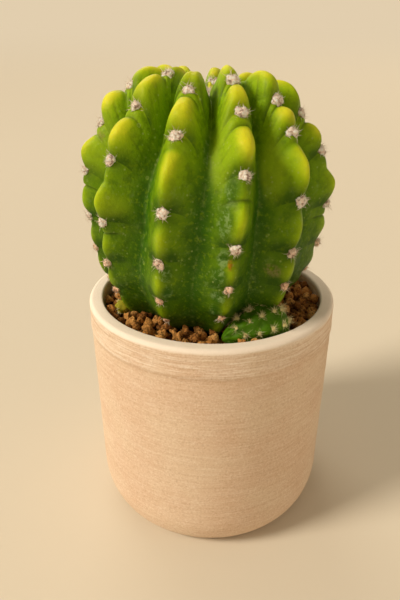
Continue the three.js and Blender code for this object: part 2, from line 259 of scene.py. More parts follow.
@dataclass(frozen=True)
class Finish:
    """A surface finish, which becomes one material however often it is used."""

    name: str

    def material(self) -> bpy.types.Material:
        """Makes the finish's material at its first use.

        Returns:
            The material.
        """
        made = bpy.data.materials.get(self.name)
        if made is None:
            made = bpy.data.materials.new(self.name)
            made.use_nodes = True
            made.node_tree.nodes.clear()
            graph = Graph(made.node_tree)
            shader = self.shader(graph, graph.node("ShaderNodeTexCoord", output="Object"))
            graph.node("ShaderNodeOutputMaterial", shader)
        return made

    def shader(self, graph: Graph, at: Wire) -> Wire:
        """Adds the finish's nodes.

        Args:
            graph: The material's tree.
            at: The place on the object, in metres.

        Returns:
            The surface shader.
        """
        raise NotImplementedError


@dataclass(frozen=True)
class Skin(Finish):
    """The waxy skin of a stem, coloured by what its mesh knows of crest, lobe and age."""

    crest: str = "#e2da2e"
    ripening: str = "#a0bc08"
    flank: str = "#6b9200"
    # the valleys' dark green: partly the plant's own colour, partly painted shade
    valley: str = "#255a00"
    young: str = "#8fb804"
    # darker old green; also the colour of painted shade under the lobes and round the areoles
    old: str = "#2a5000"
    # painted shade for the creases, the areoles' dents and the stem's foot
    crease_and_foot_shade: str = "#1b3604"
    blush: str = "#9fbc1e"
    fleck: str = "#a9ba6a"
    worn: str = "#8aa45c"
    bruise: str = "#20500e"
    scurf: str = "#8ca86c"
    scab: Sequence[str] = ("#c0801c", "#7a4408")
    cork: str = "#9c8a60"
    gloss: float = 0.44

    def shader(self, graph: Graph, at: Wire) -> Wire:
        """Green skin with yellow lobes, dark valleys partly painted shade, pale flecks, scurf and
        small scars.
        """
        mottle = graph.noise(at, 4, 4, 0.6)
        # The valleys' colour as ground: partly the plant's own green, partly painted shade in the
        # valleys.
        paint = Paint(graph, self.valley)
        self._growth(paint, at, mottle)
        pale = self._flecks(paint, at)
        scurf, scab, cork = self._scars(paint, at, mottle)
        rough = self.gloss + mottle * 0.18 + (scurf + cork + scab) * 0.3 + pale * 0.25
        pores = graph.noise(at, 1.1, 3, 0.6)
        relief = pores * 0.7 + mottle * 1.6 - pale * 0.2 + scab * 1.2 + cork * 0.8
        return graph.principled(
            paint.tone, rough, graph.bump(relief, 0.5, 0.6),
            Subsurface_Weight=0.32, Subsurface_Radius=(0.7, 1.0, 0.1), Subsurface_Scale=0.003,
            Specular_IOR_Level=0.2, Specular_Tint=(1.0, 0.93, 0.5, 1.0),
            Coat_Weight=0.02, Coat_Roughness=0.24,
        )

    def _growth(self, paint: Paint, at: Wire, mottle: Wire) -> None:
        """Lays on the greens and yellows that follow the ribs and lobes, and painted shade.

        Args:
            paint: The paint, with the valleys' colour as its ground.
            at: The place on the object.
            mottle: Noise in small patches.
        """
        graph = paint.graph
        crest, lobe, share, age = map(graph.attribute, ("crest", "lobe", "share", "age"))
        drift = (graph.noise(at, 15, 3) - 0.5) * 0.6 + (mottle - 0.5) * 0.4
        paint.coat((crest + drift * 0.5).step(-0.05, 0.6), self.flank)
        paint.coat((age + drift * 0.2).step(0.55, 0.1) * 0.75, self.young)
        low = age.step(0.36, 0.58)
        # Painted shade: darker over the lower end of each lobe's crest, and lower down the stem.
        shade = share.step(0.55, 0.95) * crest.step(0.2, 0.7) + age.step(0.42, 0.85) * 0.9
        paint.coat(shade * 0.76, self.old)
        # Painted shade at the foot of the stem, near the dressing.
        paint.coat(age.step(0.76, 0.95) * 0.62, self.crease_and_foot_shade)
        paint.coat(mottle.step(0.54, 0.36) * 0.42, self.old)
        paint.coat(graph.noise(at, 1.7, 3, 0.65).step(0.52, 0.7) * 0.22, self.ripening)
        top = share.step(0.0, 0.12) * share.step(0.95, 0.3) * (1.0 - low * 0.75)
        ridge = crest ** (2.8 + low * 0.8)
        ripe = ridge * 0.62 + top * (0.12 + ridge * 0.24) + lobe * 0.2 + drift * 0.75 - age * 0.3
        paint.coat(graph.attribute("blush") * 0.5, self.blush)
        paint.coat(ripe.step(0.1, 0.9) * 0.8, self.ripening)
        paint.coat(ripe.step(0.56, 1.28) * (0.95 - low * 0.42), self.crest)
        # Painted shade round each areole.
        paint.coat(graph.attribute("halo") * (mottle * 0.8 + 0.5) * 0.75, self.old)
        # Painted shade in the creases and the areoles' dents.
        paint.coat(graph.attribute("crease") * 0.55, self.crease_and_foot_shade)

    def _flecks(self, paint: Paint, at: Wire) -> Wire:
        """Lays on pale flecks, rings, dotted valleys and worn patches.

        Args:
            paint: The paint so far.
            at: The place on the object.

        Returns:
            How pale each place has become.
        """
        graph = paint.graph
        age = graph.attribute("age")
        flecks = graph.cells(at, 2.4).step(0.24, 0.08) * graph.noise(at, 8).step(0.42, 0.66)
        dust = graph.cells(at, 1.1).step(0.2, 0.1) * graph.noise(at, 5).step(0.5, 0.7)
        spots = graph.cells(at, 6.0)
        rings = spots.step(0.15, 0.11) - spots.step(0.1, 0.06) * 0.6
        rings = rings * graph.noise(at, 18, 1).step(0.5, 0.62)
        dots = graph.attribute("valley") * graph.noise(at, 1.6, 3, 0.6).step(0.42, 0.62)
        haze = graph.noise(at, 7, 5, 0.7).step(0.5, 0.75) * age.step(0.2, 0.5)
        pale = (flecks + dust * 0.6) * 0.42 + rings * 0.35 + dots * 0.16 + haze * 0.06
        paint.coat(pale, self.fleck)
        worn = graph.noise(at, 2.6, 5, 0.75).step(0.5, 0.68) * age.step(0.3, 0.6)
        paint.coat(worn * graph.noise(at, 11).step(0.46, 0.62) * 0.3, self.worn)
        return pale

    def _scars(self, paint: Paint, at: Wire, mottle: Wire) -> tuple[Wire, Wire, Wire]:
        """Lays on the blemishes that the mesh carries.

        Args:
            paint: The paint so far.
            at: The place on the object.
            mottle: Noise in small patches.

        Returns:
            Where there are scurf, scabs and cork.
        """
        graph = paint.graph
        bruise = graph.attribute("scurf")
        paint.coat(bruise * 0.55, self.bruise)
        crumbs = graph.noise(at, 3.4, 6, 0.8) + (mottle - 0.5) * 0.4
        scurf = bruise * crumbs.step(0.49, 0.6)
        paint.coat(scurf * 0.55, self.scurf)
        scab = graph.attribute("scab") * graph.noise(at, 1.0, 3).step(0.3, 0.5)
        fresh, dry = map(colour, self.scab)
        paint.coat(scab * 0.8, graph.mix(graph.noise(at, 0.8), fresh, dry))
        cork = graph.attribute("cork") * graph.noise(at, 1.4, 4, 0.7).step(0.36, 0.62)
        paint.coat(cork * 0.6, self.cork)
        return scurf, scab, cork


@dataclass(frozen=True)
class Felt(Finish):
    """White wool with pinkish painted shade, which tans with age low on the plant."""

    light: str = "#fffdf8"
    shade: str = "#fbe8dc"
    aged: str = "#efbc90"
    gap: str = "#6e4836"
    ageing: Pair = (150, 115)

    def shader(self, graph: Graph, at: Wire) -> Wire:
        """Wool with painted shade towards its tufts' edges and darker gaps between them."""
        tuft = graph.cells(at, 1.15)
        paint = Paint(graph, self.light)
        # Painted shade: each tuft darkens towards its edges.
        paint.coat(tuft.step(0.3, 0.6), self.shade)
        height = graph.parts(at)[2]
        paint.coat(height.step(self.ageing[0] * MM, self.ageing[1] * MM) * 0.8, self.aged)
        # Darker gaps between the tufts: partly the brown of spine bases, partly painted shade.
        gap = tuft.step(0.54, 0.68) * graph.noise(at, 1.6, 1).step(0.42, 0.56)
        paint.coat(gap * 0.7, self.gap)
        return graph.principled(
            paint.tone, 0.9, graph.bump(graph.noise(at, 0.4, 3, 0.7) - tuft * 1.4, 0.5, 0.8),
            Subsurface_Weight=0.2, Subsurface_Radius=(1.0, 0.8, 0.7), Subsurface_Scale=0.0008,
            Sheen_Weight=0.1, Sheen_Roughness=0.5, Specular_IOR_Level=0.2,
        )


@dataclass(frozen=True)
class Spine(Finish):
    """Horn-coloured spines with darker tips, which their meshes mark."""

    base: str = "#f2e6d8"
    tip: str = "#a06a4c"

    def shader(self, graph: Graph, at: Wire) -> Wire:
        """Smooth horn, darker towards the tip."""
        paint = Paint(graph, self.base)
        tipped = graph.attribute("tip").step(0.35, 1.0)
        paint.coat(tipped * graph.noise(at, 2.5).step(0.35, 0.6), self.tip)
        return graph.principled(paint.tone, 0.45, graph.bump(graph.noise(at, 0.3), 0.05, 0.4))


@dataclass(frozen=True)
class FiredClay(Finish):
    """The pot's fine sandy clay with turning marks, which are strongest in a band below the rim."""

    body: str = "#dcc3a9"
    blush: str = "#d3ae92"
    # pale clay for streaks and grit, and painted light on the rim
    pale_and_rim_light: str = "#f6ebe0"
    groove: str = "#b08a6c"
    cloud: str = "#c29c7c"
    shadow: str = "#b48a68"
    grit: str = "#a8845f"
    band_foot: Pair = (92.5, 94.5)
    ledge: tuple[Pair, Pair] = ((91.2, 92.8), (94.5, 93))
    rim: Pair = (103.4, 105)
    smoother: Pair = (102, 105)

    def shader(self, graph: Graph, at: Wire) -> Wire:
        """Mottled clay with level streaks, a rim painted paler as if lit from above, and fine grit.
        """
        x, y, z = graph.parts(at)

        def level(stretch: float) -> Wire:
            """The place with its level parts shrunk, so that a pattern on it runs round the pot."""
            return graph.xyz(x * stretch, y * stretch, z)

        def rise(heights: Pair) -> Wire:
            """A step between two heights in millimetres."""
            return z.step(heights[0] * MM, heights[1] * MM)

        long, short = graph.noise(level(0.02), 1.0, 3, 0.6), graph.noise(level(0.1), 1.3, 3, 0.65)
        streak = long * 0.55 + short * 0.45
        broad = graph.noise(level(0.02), 7)
        fine = graph.noise(level(0.05), 0.5, 2, 0.6)
        grit = graph.noise(at, 0.9, 4, 0.8)
        band = rise(self.band_foot)
        paint = Paint(graph, self.body)
        paint.coat(graph.noise(at, 22, 3).step(0.35, 0.65) * 0.4, self.blush)
        paint.coat(streak.step(0.42, 0.66) * (0.12 + band * 0.3), self.pale_and_rim_light)
        paint.coat(fine.step(0.5, 0.66) * (0.2 + band * 0.32), self.pale_and_rim_light)
        paint.coat(streak.step(0.5, 0.36) * (0.12 + band * 0.16), self.groove)
        paint.coat(broad.step(0.5, 0.8) * 0.1, self.cloud)
        paint.coat(rise(self.ledge[0]) * rise(self.ledge[1]) * 0.12, self.shadow)
        paint.coat(grit.step(0.52, 0.66) * 0.36, self.grit)
        paint.coat(grit.step(0.48, 0.36) * 0.36, self.pale_and_rim_light)
        # Painted light: the rim's top paler, as where light falls on it from above.
        paint.coat(rise(self.rim) * 0.85, self.pale_and_rim_light)
        rough = 0.72 + grit * 0.2 - rise(self.smoother) * 0.1
        turned = streak * (0.5 + band * 0.7) + fine * (0.4 + band * 0.6)
        relief = turned + broad * 0.3 + grit * 0.7
        return graph.principled(
            paint.tone, rough, graph.bump(relief, 0.3, 0.5), Specular_IOR_Level=0.3
        )


@dataclass(frozen=True)
class Granule(Finish):
    """Porous fired clay grains, each with its own tone."""

    dark: str = "#8a5826"
    middle: str = "#c68844"
    light: str = "#e6b068"
    pore_shade: str = "#2c1606"
    dust: str = "#e2b472"
    pore_size: float = 1.1

    def shader(self, graph: Graph, at: Wire) -> Wire:
        """Brown grains from dark to tan with painted shade in their pores, and dust."""
        tone = graph.attribute("tone")
        pores = graph.noise(at, self.pore_size, 4, 0.7)
        paint = Paint(graph, self.dark)
        paint.coat(tone.step(0.0, 0.6), self.middle)
        paint.coat(tone.step(0.55, 1.0) * 0.8, self.light)
        # Painted shade: darker in the pores' hollows.
        paint.coat(pores.step(0.5, 0.38) * 0.75, self.pore_shade)
        paint.coat(pores.step(0.56, 0.7) * 0.4, self.dust)
        relief = pores - graph.cells(at, self.pore_size) * 0.6
        return graph.principled(
            paint.tone, 0.9, graph.bump(relief, 1.2, 0.9), Specular_IOR_Level=0.2
        )


@dataclass(frozen=True)
class Earth(Finish):
    """Loose matter under the dressing: soil, gravel or roots."""

    dark: str
    light: str
    grain: float
    gap: str = "#170d06"

    def shader(self, graph: Graph, at: Wire) -> Wire:
        """Grains of two tones with painted shade in the gaps between them."""
        cells = graph.cells(at, self.grain)
        tone = graph.noise(at, self.grain * 0.8, 3, 0.6)
        paint = Paint(graph, self.dark)
        paint.coat(tone.step(0.35, 0.65), self.light)
        # Painted shade in the gaps between grains.
        paint.coat(cells.step(0.3, 0.6) * 0.7, self.gap)
        normal = graph.bump(tone * 0.4 - cells, self.grain * 0.4, 0.7)
        return graph.principled(paint.tone, 0.95, normal, Specular_IOR_Level=0.2)


@dataclass(frozen=True)
class MouldedNet(Finish):
    """Dark moulded plastic with a faint texture."""

    tone: str = "#242422"
    scuffed: str = "#5a5a55"

    def shader(self, graph: Graph, at: Wire) -> Wire:
        """Satin plastic with scuffs."""
        scuff = graph.noise(at, 2, 4, 0.7)
        paint = Paint(graph, self.tone)
        paint.coat(scuff.step(0.6, 0.8) * 0.4, self.scuffed)
        return graph.principled(paint.tone, 0.45 + scuff * 0.2, graph.bump(scuff, 0.05, 0.3))


@dataclass(frozen=True)
class Backdrop(Finish):
    """The plain pale floor, evenly lit from behind where it curves up far away."""

    tone: str = "#d9d0c0"
    wall: str = "#e2ceae"
    lit: Pair = (0.02, 0.35)

    def shader(self, graph: Graph, at: Wire) -> Wire:
        """Matt and plain."""
        floor = graph.principled(colour(self.tone), 0.9)
        wall = graph.node("ShaderNodeEmission", colour(self.wall))
        return graph.node("ShaderNodeMixShader", graph.parts(at)[2].step(*self.lit), floor, wall)


SKIN = Skin("cactus_skin")
YOUNG_SKIN = Skin(
    "offset_skin", crest="#7c9a16", ripening="#588408", flank="#3e6a04", valley="#133400",
    young="#487800", old="#224600",
)
PALE_SKIN = Skin(
    "pale_offset_skin", crest="#e0b870", ripening="#bca43c", flank="#9c9122", valley="#5c640e",
    young="#a8a02a", old="#7c7a16",
)
FELT = Felt("areole_felt")
YOUNG_FELT = Felt("offset_felt", light="#f4ecb8", shade="#d8c888", aged="#e6dc9c")
SPINE = Spine("spine_horn")
YOUNG_SPINE = Spine("offset_spine_horn", base="#f2e8b4", tip="#c8b070")
CLAY = FiredClay("fired_clay")
GRANULE = Granule("clay_granules")
HIDDEN = {
    "soil_mix": Earth("soil_mix", "#2a1a0e", "#5b3c22", 2.2),
    "drainage_gravel": Earth("drainage_gravel", "#8b8069", "#c3b79e", 4.0),
    "root_ball": Earth("root_fibre", "#7c5f3c", "#c8a878", 1.2),
    "drainage_net": MouldedNet("drainage_net"),
}


# ---- Meshes ----


def mesh_object(
    name: str, points: Array, faces: Sequence[Sequence[int]] = (),
    finish: Finish | None = None, marks: dict[str, Array] | None = None,
) -> bpy.types.Object:
    """Makes an object from points in millimetres.

    Args:
        name: The object's name.
        points: One row of x, y, z for each vertex, in millimetres.
        faces: Vertex numbers of each face, anticlockwise from outside.
        finish: The object's finish.
        marks: Values to store on the vertices, by name; a row of three is a vector.

    Returns:
        The object, at the origin and in the scene.
    """
    mesh = bpy.data.meshes.new(name)
    mesh.from_pydata(np.asarray(points, float) * MM, [], faces)
    for mark, values in (marks or {}).items():
        kind, key = ("FLOAT_VECTOR", "vector") if values.ndim == 2 else ("FLOAT", "value")
        stored = mesh.attributes.new(mark, kind, "POINT")
        stored.data.foreach_set(key, np.asarray(values, np.float32).ravel())
    if finish:
        mesh.materials.append(finish.material())
    mesh.shade_smooth()
    made = bpy.data.objects.new(name, mesh)
    bpy.context.collection.objects.link(made)
    return made


def ring_faces(rows: int, columns: int) -> list[tuple[int, ...]]:
    """Faces of a closed skin of rings, with a pole before the first ring and after the last.

    Args:
        rows: The number of rings.
        columns: The number of vertices in each.

    Returns:
        The vertex numbers of each face; those of the last pole come last.
    """
    last = 1 + rows * columns
    beside = [*enumerate(np.roll(np.arange(columns), -1).tolist())]
    faces: list[tuple[int, ...]] = []
    for here in range(1, last - columns, columns):
        below = here + columns
        faces += [(here + c, below + c, below + d, here + d) for c, d in beside]
    faces += [(0, 1 + c, 1 + d) for c, d in beside]
    end = last - columns
    faces += [(last, end + d, end + c) for c, d in beside]
    return faces


def face_outwards(mesh: bpy.types.Mesh) -> None:
    """Turns a closed mesh's faces outwards if its volume shows that they point in.

    Args:
        mesh: The mesh.
    """
    mesh.calc_loop_triangles()
    corners = np.empty(len(mesh.loop_triangles) * 3, np.int32)
    mesh.loop_triangles.foreach_get("vertices", corners)
    places = np.empty(len(mesh.vertices) * 3, np.float32)
    mesh.vertices.foreach_get("co", places)
    a, b, c = places.reshape(-1, 3)[corners.reshape(-1, 3)].transpose(1, 0, 2)
    if np.einsum("ij,ij->", a, np.cross(b, c)) < 0:
        mesh.flip_normals()


def wobble(points: Array, size: float, seed: int) -> Array:
    """A smooth irregular value at each point.

    Args:
        points: The points, in millimetres.
        size: About how long its waves are, in millimetres.
        seed: Seeds its random draws.

    Returns:
        Values from about -1 to 1.
    """
    draw = np.random.default_rng(seed)
    total = np.zeros(points.shape[:-1])
    for _ in range(6):
        direction = draw.normal(size=3)
        direction *= draw.uniform(0.7, 1.4) / np.linalg.norm(direction)
        total += np.sin(points @ direction * (FULL_TURN / size) + draw.uniform(0, FULL_TURN))
    return total / 3.5


def smooth(value: Array, low: float, high: float) -> Array:
    """0 up to low, 1 from high on and smooth between."""
    t = np.clip((value - low) / (high - low), 0, 1)
    return t * t * (3 - 2 * t)


def bell(off: Array) -> Array:
    """1 where off is 0, falling to almost nothing at 2."""
    return np.exp(-(off**2))


def settle(piece: bpy.types.Object, slot: str, *nodes: str) -> None:
    """Hides the solids that a finished piece stands for, and hangs the piece on the body.

    Args:
        piece: The piece, in place.
        slot: Not used.
        nodes: The solids that it stands for.
    """
    if nodes:
        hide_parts(*nodes)
    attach(piece, BODY)
    LOG.info("%s: %d faces", piece.name, len(piece.data.polygons))


# ---- Geometry node trees ----


class GrowthTree:
    """A geometry tree with named inputs, which grows on an object and is then made plain."""

    def __init__(self, name: str) -> None:
        """Starts the tree with its geometry sockets.

        Args:
            name: The tree's name.
        """
        self.tree = bpy.data.node_groups.new(name, "GeometryNodeTree")
        self.graph = Graph(self.tree)
        self.keys: dict[str, str] = {}
        self._socket("Geometry", "Geometry")
        self.tree.interface.new_socket(
            "Geometry", in_out="OUTPUT", socket_type="NodeSocketGeometry"
        )
        self.entry: bpy.types.Node | None = None
        self.build()

    def build(self) -> None:
        """Adds the inputs and nodes, and finishes with end."""
        raise NotImplementedError

    def _socket(self, name: str, kind: str) -> None:
        """Adds a named input."""
        made = self.tree.interface.new_socket(
            name, in_out="INPUT", socket_type=f"NodeSocket{kind}"
        )
        self.keys[name] = made.identifier

    def inputs(self, **kinds: str) -> None:
        """Adds the tree's inputs.

        Args:
            kinds: Their kinds by name, with _ for a space.
        """
        for name, kind in kinds.items():
            self._socket(name.replace("_", " ").capitalize(), kind)
        self.entry = self.tree.nodes.new("NodeGroupInput")

    def given(self, name: str) -> Wire:
        """The wire of a named input."""
        return Wire(self.graph, self.entry.outputs[name])

    def geo(self, kind: str, *values: Feed, **inputs: Feed) -> Wire:
        """A geometry node without settings; see Graph.node."""
        return self.graph.node(f"GeometryNode{kind}", *values, **inputs)

    def shifted(self, geometry: Wire, **places: Wire) -> Wire:
        """The geometry with its points moved, by Offset or to Position."""
        return self.geo("SetPosition", Geometry=geometry, **places)

    def dressed(self, geometry: Wire, finish: str) -> Wire:
        """The geometry in the material that an input holds."""
        return self.geo("SetMaterial", Geometry=geometry, Material=self.given(finish))

    def marked(self, geometry: Wire, domain: str, name: str, value: Wire) -> Wire:
        """The geometry with a number stored on its points or instances."""
        settings = {"data_type": "FLOAT", "domain": domain}
        return self.graph.node(
            "GeometryNodeStoreNamedAttribute", settings=settings,
            Geometry=geometry, Name=name, Value=value,
        )

    def end(self, *parts: Wire) -> None:
        """Joins the parts, makes their instances real and smooth, and ends the tree.

        Args:
            parts: The geometries, in order.
        """
        joined = self.tree.nodes.new("GeometryNodeJoinGeometry")
        for part in reversed(parts):
            self.tree.links.new(part.socket, joined.inputs[0])
        real = self.geo("RealizeInstances", Wire(self.graph, joined.outputs[0]))
        self.graph.node("NodeGroupOutput", self.geo("SetShadeSmooth", real))

    def random(self, low: Feed, high: Feed, salt: int) -> Wire:
        """A random value for each element.

        Args:
            low: The least value; a tuple asks for vectors.
            high: The greatest value.
            salt: Keeps these draws apart from others.

        Returns:
            The values.
        """
        settings = {"data_type": "FLOAT_VECTOR" if isinstance(low, tuple) else "FLOAT"}
        seed = self.given("Seed") * 17.0 + salt
        return self.graph.node(
            "FunctionNodeRandomValue", settings=settings, Min=low, Max=high, Seed=seed
        )

    def named(self, name: str, kind: str = "FLOAT") -> Wire:
        """A value stored on the geometry."""
        settings = {"data_type": kind}
        return self.graph.node("GeometryNodeInputNamedAttribute", settings=settings, Name=name)

    def grow(self, piece: bpy.types.Object, **values: Feed) -> bpy.types.Object:
        """Runs the tree on an object and replaces the object's mesh with the result.

        Args:
            piece: The object that carries the starting geometry.
            values: The inputs by name, with _ for a space.

        Returns:
            The same object with a plain mesh and no modifier.
        """
        modifier = piece.modifiers.new(self.tree.name, "NODES")
        modifier.node_group = self.tree
        for name, value in values.items():
            modifier[self.keys[name.replace("_", " ").capitalize()]] = value
        scene = bpy.context.evaluated_depsgraph_get()
        mesh = bpy.data.meshes.new_from_object(piece.evaluated_get(scene), depsgraph=scene)
        piece.modifiers.remove(modifier)
        old, piece.data = piece.data, mesh
        mesh.name = piece.name
        bpy.data.meshes.remove(old)
        return piece


class AreoleTree(GrowthTree):
    """Felted cushions with hairs and spines, one on each point of the starting mesh."""

    SQUAT = (1.0, 1.0, 0.8)
    LUMP_SIZE, LUMP_DEPTH = 1.5, 2.8
    CURVE = 0.18  # how far a needle's tip bends aside, against its length

    def build(self) -> None:
        """Cushions first, then hairs and spines scattered over them."""
        self.inputs(
            cushion_radius="Float", hair_length="Float", hair_density="Float",
            spine_length="Float", spine_density="Float", needle_width="Float", seed="Int",
            felt="Material", horn="Material",
        )
        graph = self.graph
        outward = self.named("outward", "FLOAT_VECTOR")
        ball = self.geo("MeshIcoSphere", Radius=self.given("Cushion radius"), Subdivisions=3)
        facing = graph.node(
            "FunctionNodeAlignRotationToVector", settings={"axis": "Z"}, Vector=outward
        )
        placed = self.geo(
            "InstanceOnPoints", Points=self.given("Geometry"),
            Instance=self.geo("Transform", Geometry=ball, Scale=self.SQUAT),
            Rotation=facing, Scale=self.named("size"),
        )
        cushions = self.geo("RealizeInstances", placed)
        lump = graph.noise(self.geo("InputPosition"), self.LUMP_SIZE, 1) - 0.5
        away = graph.scaled(self.geo("InputNormal"), lump * (self.LUMP_DEPTH * MM))
        lumpy = self.shifted(cushions, Offset=away)
        hairs = self._scatter(
            lumpy, "Hair", width=0.7, lowest=-0.35, tilt=0.75, sizes=(0.45, 1.25), salt=1
        )
        spines = self._scatter(
            lumpy, "Spine", width=1.0, lowest=-0.1, tilt=0.45, sizes=(0.35, 1.3), salt=2
        )
        looks = ((lumpy, "Felt"), (hairs, "Felt"), (spines, "Horn"))
        self.end(*(self.dressed(part, finish) for part, finish in looks))

    def _cone(self, length: Wire, width: float) -> Wire:
        """A three-sided needle that stands on the origin.

        Args:
            length: Its length.
            width: Its width, against the needle width.

        Returns:
            The needle, with the share of its height stored as tip.
        """
        graph = self.graph
        radius = self.given("Needle width") * (0.5 * width)
        needle = graph.node(
            "GeometryNodeMeshCone", settings={"fill_type": "NGON"}, Vertices=3,
            Side_Segments=2, Radius_Top=radius * 0.12, Radius_Bottom=radius, Depth=length,
        )
        share = graph.parts(self.geo("InputPosition"))[2] / length
        bent = self.shifted(needle, Offset=graph.xyz(share * share * length * self.CURVE, 0.0, 0.0))
        return self.marked(bent, "POINT", "tip", share)

    def _scatter(
        self, skin: Wire, kind: str, width: float, lowest: float, tilt: float, sizes: Pair,
        salt: int,
    ) -> Wire:
        """Needles over the cushions.

        Args:
            skin: The cushions.
            kind: Hair or Spine, whose length and density are inputs.
            width: Their width, against the needle width.
            lowest: The least share of the cushion's outward direction at which one grows.
            tilt: The most that one leans off the surface's normal, in radians.
            sizes: The least and the greatest size of one.
            salt: Keeps these draws apart from others.

        Returns:
            The needles.
        """
        graph = self.graph
        needle = self._cone(self.given(f"{kind} length"), width)
        outward = self.named("outward", "FLOAT_VECTOR")
        lean = graph.vector("DOT_PRODUCT", self.geo("InputNormal"), outward, output="Value")
        open_side = graph.node(
            "FunctionNodeCompare", settings={"operation": "GREATER_THAN"}, A=lean, B=lowest
        )
        points = self.geo(
            "DistributePointsOnFaces", Mesh=skin, Selection=open_side,
            Density=self.given(f"{kind} density"), Seed=self.given("Seed") + salt,
        )
        swing = self.random((-tilt, -tilt, -math.pi), (tilt, tilt, math.pi), salt + 10)
        turned = graph.node(
            "FunctionNodeRotateRotation", settings={"rotation_space": "LOCAL"},
            Rotation=points.out("Rotation"),
            Rotate_By=graph.node("FunctionNodeEulerToRotation", Euler=swing),
        )
        return self.geo(
            "InstanceOnPoints", Points=points, Instance=needle, Rotation=turned,
            Scale=graph.xyz(1.0, 1.0, self.random(*sizes, salt + 20)),
        )


class GranuleTree(GrowthTree):
    """Lumpy grains of several shapes, one on each point of the starting mesh."""

    SHAPES, FINE_SHAPES = 7, 3
    STRETCH = ((0.85, 0.8, 0.75), (1.2, 1.05, 1.0))
    MOST_TURN = (6.28, 6.28, 6.28)
    APART = (7.3, 3.1, 0.0)  # from one shape's place in the noise to the next
    BROAD_SCALE, LUMP_SCALE = 0.9, 1.25
    BROAD_HEIGHT, LUMP_HEIGHT = 2.6, 1.1

    def build(self) -> None:
        """Makes the shapes, picks one for each point and turns it at random."""
        self.inputs(lumpiness="Float", seed="Int", clay="Material")
        graph = self.graph
        shapes = self.tree.nodes.new("GeometryNodeGeometryToInstance")
        place = self.geo("InputPosition")
        for number in range(self.SHAPES):
            detail = 3 if number < self.FINE_SHAPES else 2
            ball = self.geo("MeshIcoSphere", Radius=1.0, Subdivisions=detail)
            moved = graph.vector("ADD", place, tuple(number * step for step in self.APART))
            broad = graph.node(
                "ShaderNodeTexNoise", Vector=moved, Scale=self.BROAD_SCALE, Detail=0.0
            )
            lumps = graph.node("ShaderNodeTexVoronoi", Vector=moved, Scale=self.LUMP_SCALE)
            swell = (broad - 0.5) * self.BROAD_HEIGHT + (0.45 - lumps) * self.LUMP_HEIGHT
            swell = swell * self.given("Lumpiness")
            lumpy = self.shifted(ball, Offset=graph.scaled(place, swell))
            self.tree.links.new(lumpy.socket, shapes.inputs[0])
        turn = self.random((0.0, 0.0, 0.0), self.MOST_TURN, 3)
        stretch = self.random(*self.STRETCH, 4)
        grains = self.geo(
            "InstanceOnPoints", Points=self.given("Geometry"),
            Instance=Wire(graph, shapes.outputs[0]), Pick_Instance=True,
            Rotation=graph.node("FunctionNodeEulerToRotation", Euler=turn),
            Scale=graph.scaled(stretch, self.named("size")),
        )
        toned = self.marked(grains, "INSTANCE", "tone", self.random(0.0, 1.0, 5))
        self.end(self.dressed(toned, "Clay"))


class TurnedTree(GrowthTree):
    """Turns an outline, given as a row of vertices in the XZ plane, into a hand-turned pot."""

    LEDGE_FOOT, LEDGE_TOP, BAND_TOP = 92.3 * MM, 94 * MM, 99 * MM
    FOOT_RING = (34.5 * MM, 35.5 * MM)
    MERGE = 0.01 * MM

    def build(self) -> None:
        """Lays a grid round the axis, gives it turning marks and cuts the foot's slots."""
        self.inputs(
            sides="Int", turning_marks="Float", slots="Int", slot_width="Float",
            slot_depth="Float", clay="Material",
        )
        graph = self.graph
        outline = self.given("Geometry")
        count = self.geo("AttributeDomainSize", Geometry=outline, output="Point Count")
        grid = self.geo(
            "MeshGrid", Size_X=1.0, Size_Y=1.0, Vertices_X=count,
            Vertices_Y=self.given("Sides") + 1.0,
        )
        along, around, _ = graph.parts(self.geo("InputPosition"))
        drawn = graph.node(
            "GeometryNodeSampleIndex", settings={"data_type": "FLOAT_VECTOR", "domain": "POINT"},
            Geometry=outline, Value=self.geo("InputPosition"),
            Index=graph.math("ROUND", (along + 0.5) * (count - 1.0)),
        )
        radius, _, height = graph.parts(drawn)
        turn = (around + 0.5) * FULL_TURN
        east, north = graph.math("COSINE", turn), graph.math("SINE", turn)
        pushed = radius + self._relief(radius, height, east, north)
        slots = self.given("Slots")
        across = graph.math("PINGPONG", turn * slots / FULL_TURN - 0.25 * slots, 0.5)
        from_slot = across * FULL_TURN * radius / slots - self.given("Slot width") * 0.5
        raised = from_slot.step(0.4 * MM, -0.4 * MM) * radius.step(*self.FOOT_RING)
        raised = raised * height.step(4 * MM, 3 * MM)
        lifted = graph.math("MAXIMUM", height, raised * self.given("Slot depth"))
        shaped = self.shifted(grid, Position=graph.xyz(pushed * east, pushed * north, lifted))
        closed = self.geo("MergeByDistance", Geometry=shaped, Distance=self.MERGE)
        self.end(self.dressed(closed, "Clay"))

    def _relief(self, radius: Wire, height: Wire, east: Wire, north: Wire) -> Wire:
        """Turning marks on the outer wall.

        Args:
            radius: Each place's distance from the axis.
            height: Its height.
            east: The cosine of its turn about the axis.
            north: The sine of that turn.

        Returns:
            How far each place is pushed out.
        """
        graph = self.graph
        ring = graph.xyz(east * 0.004, north * 0.004, height)
        marks = (graph.noise(ring, 1.6, 2, 0.6) - 0.5) * 0.6 + (graph.noise(ring, 7, 1) - 0.5)
        ledge = height.step(self.LEDGE_FOOT, self.LEDGE_TOP) * 1.3
        ledge = ledge - height.step(self.LEDGE_TOP, self.BAND_TOP)
        loose = graph.noise(graph.xyz(east * 0.02, north * 0.02, height * 0.5), 30, 1) - 0.5
        wall = radius.step(50 * MM, 53 * MM) * height.step(2 * MM, 10 * MM)
        return (marks + ledge + loose * 1.2 - 0.2) * self.given("Turning marks") * wall


# ---- The pot and what it holds ----


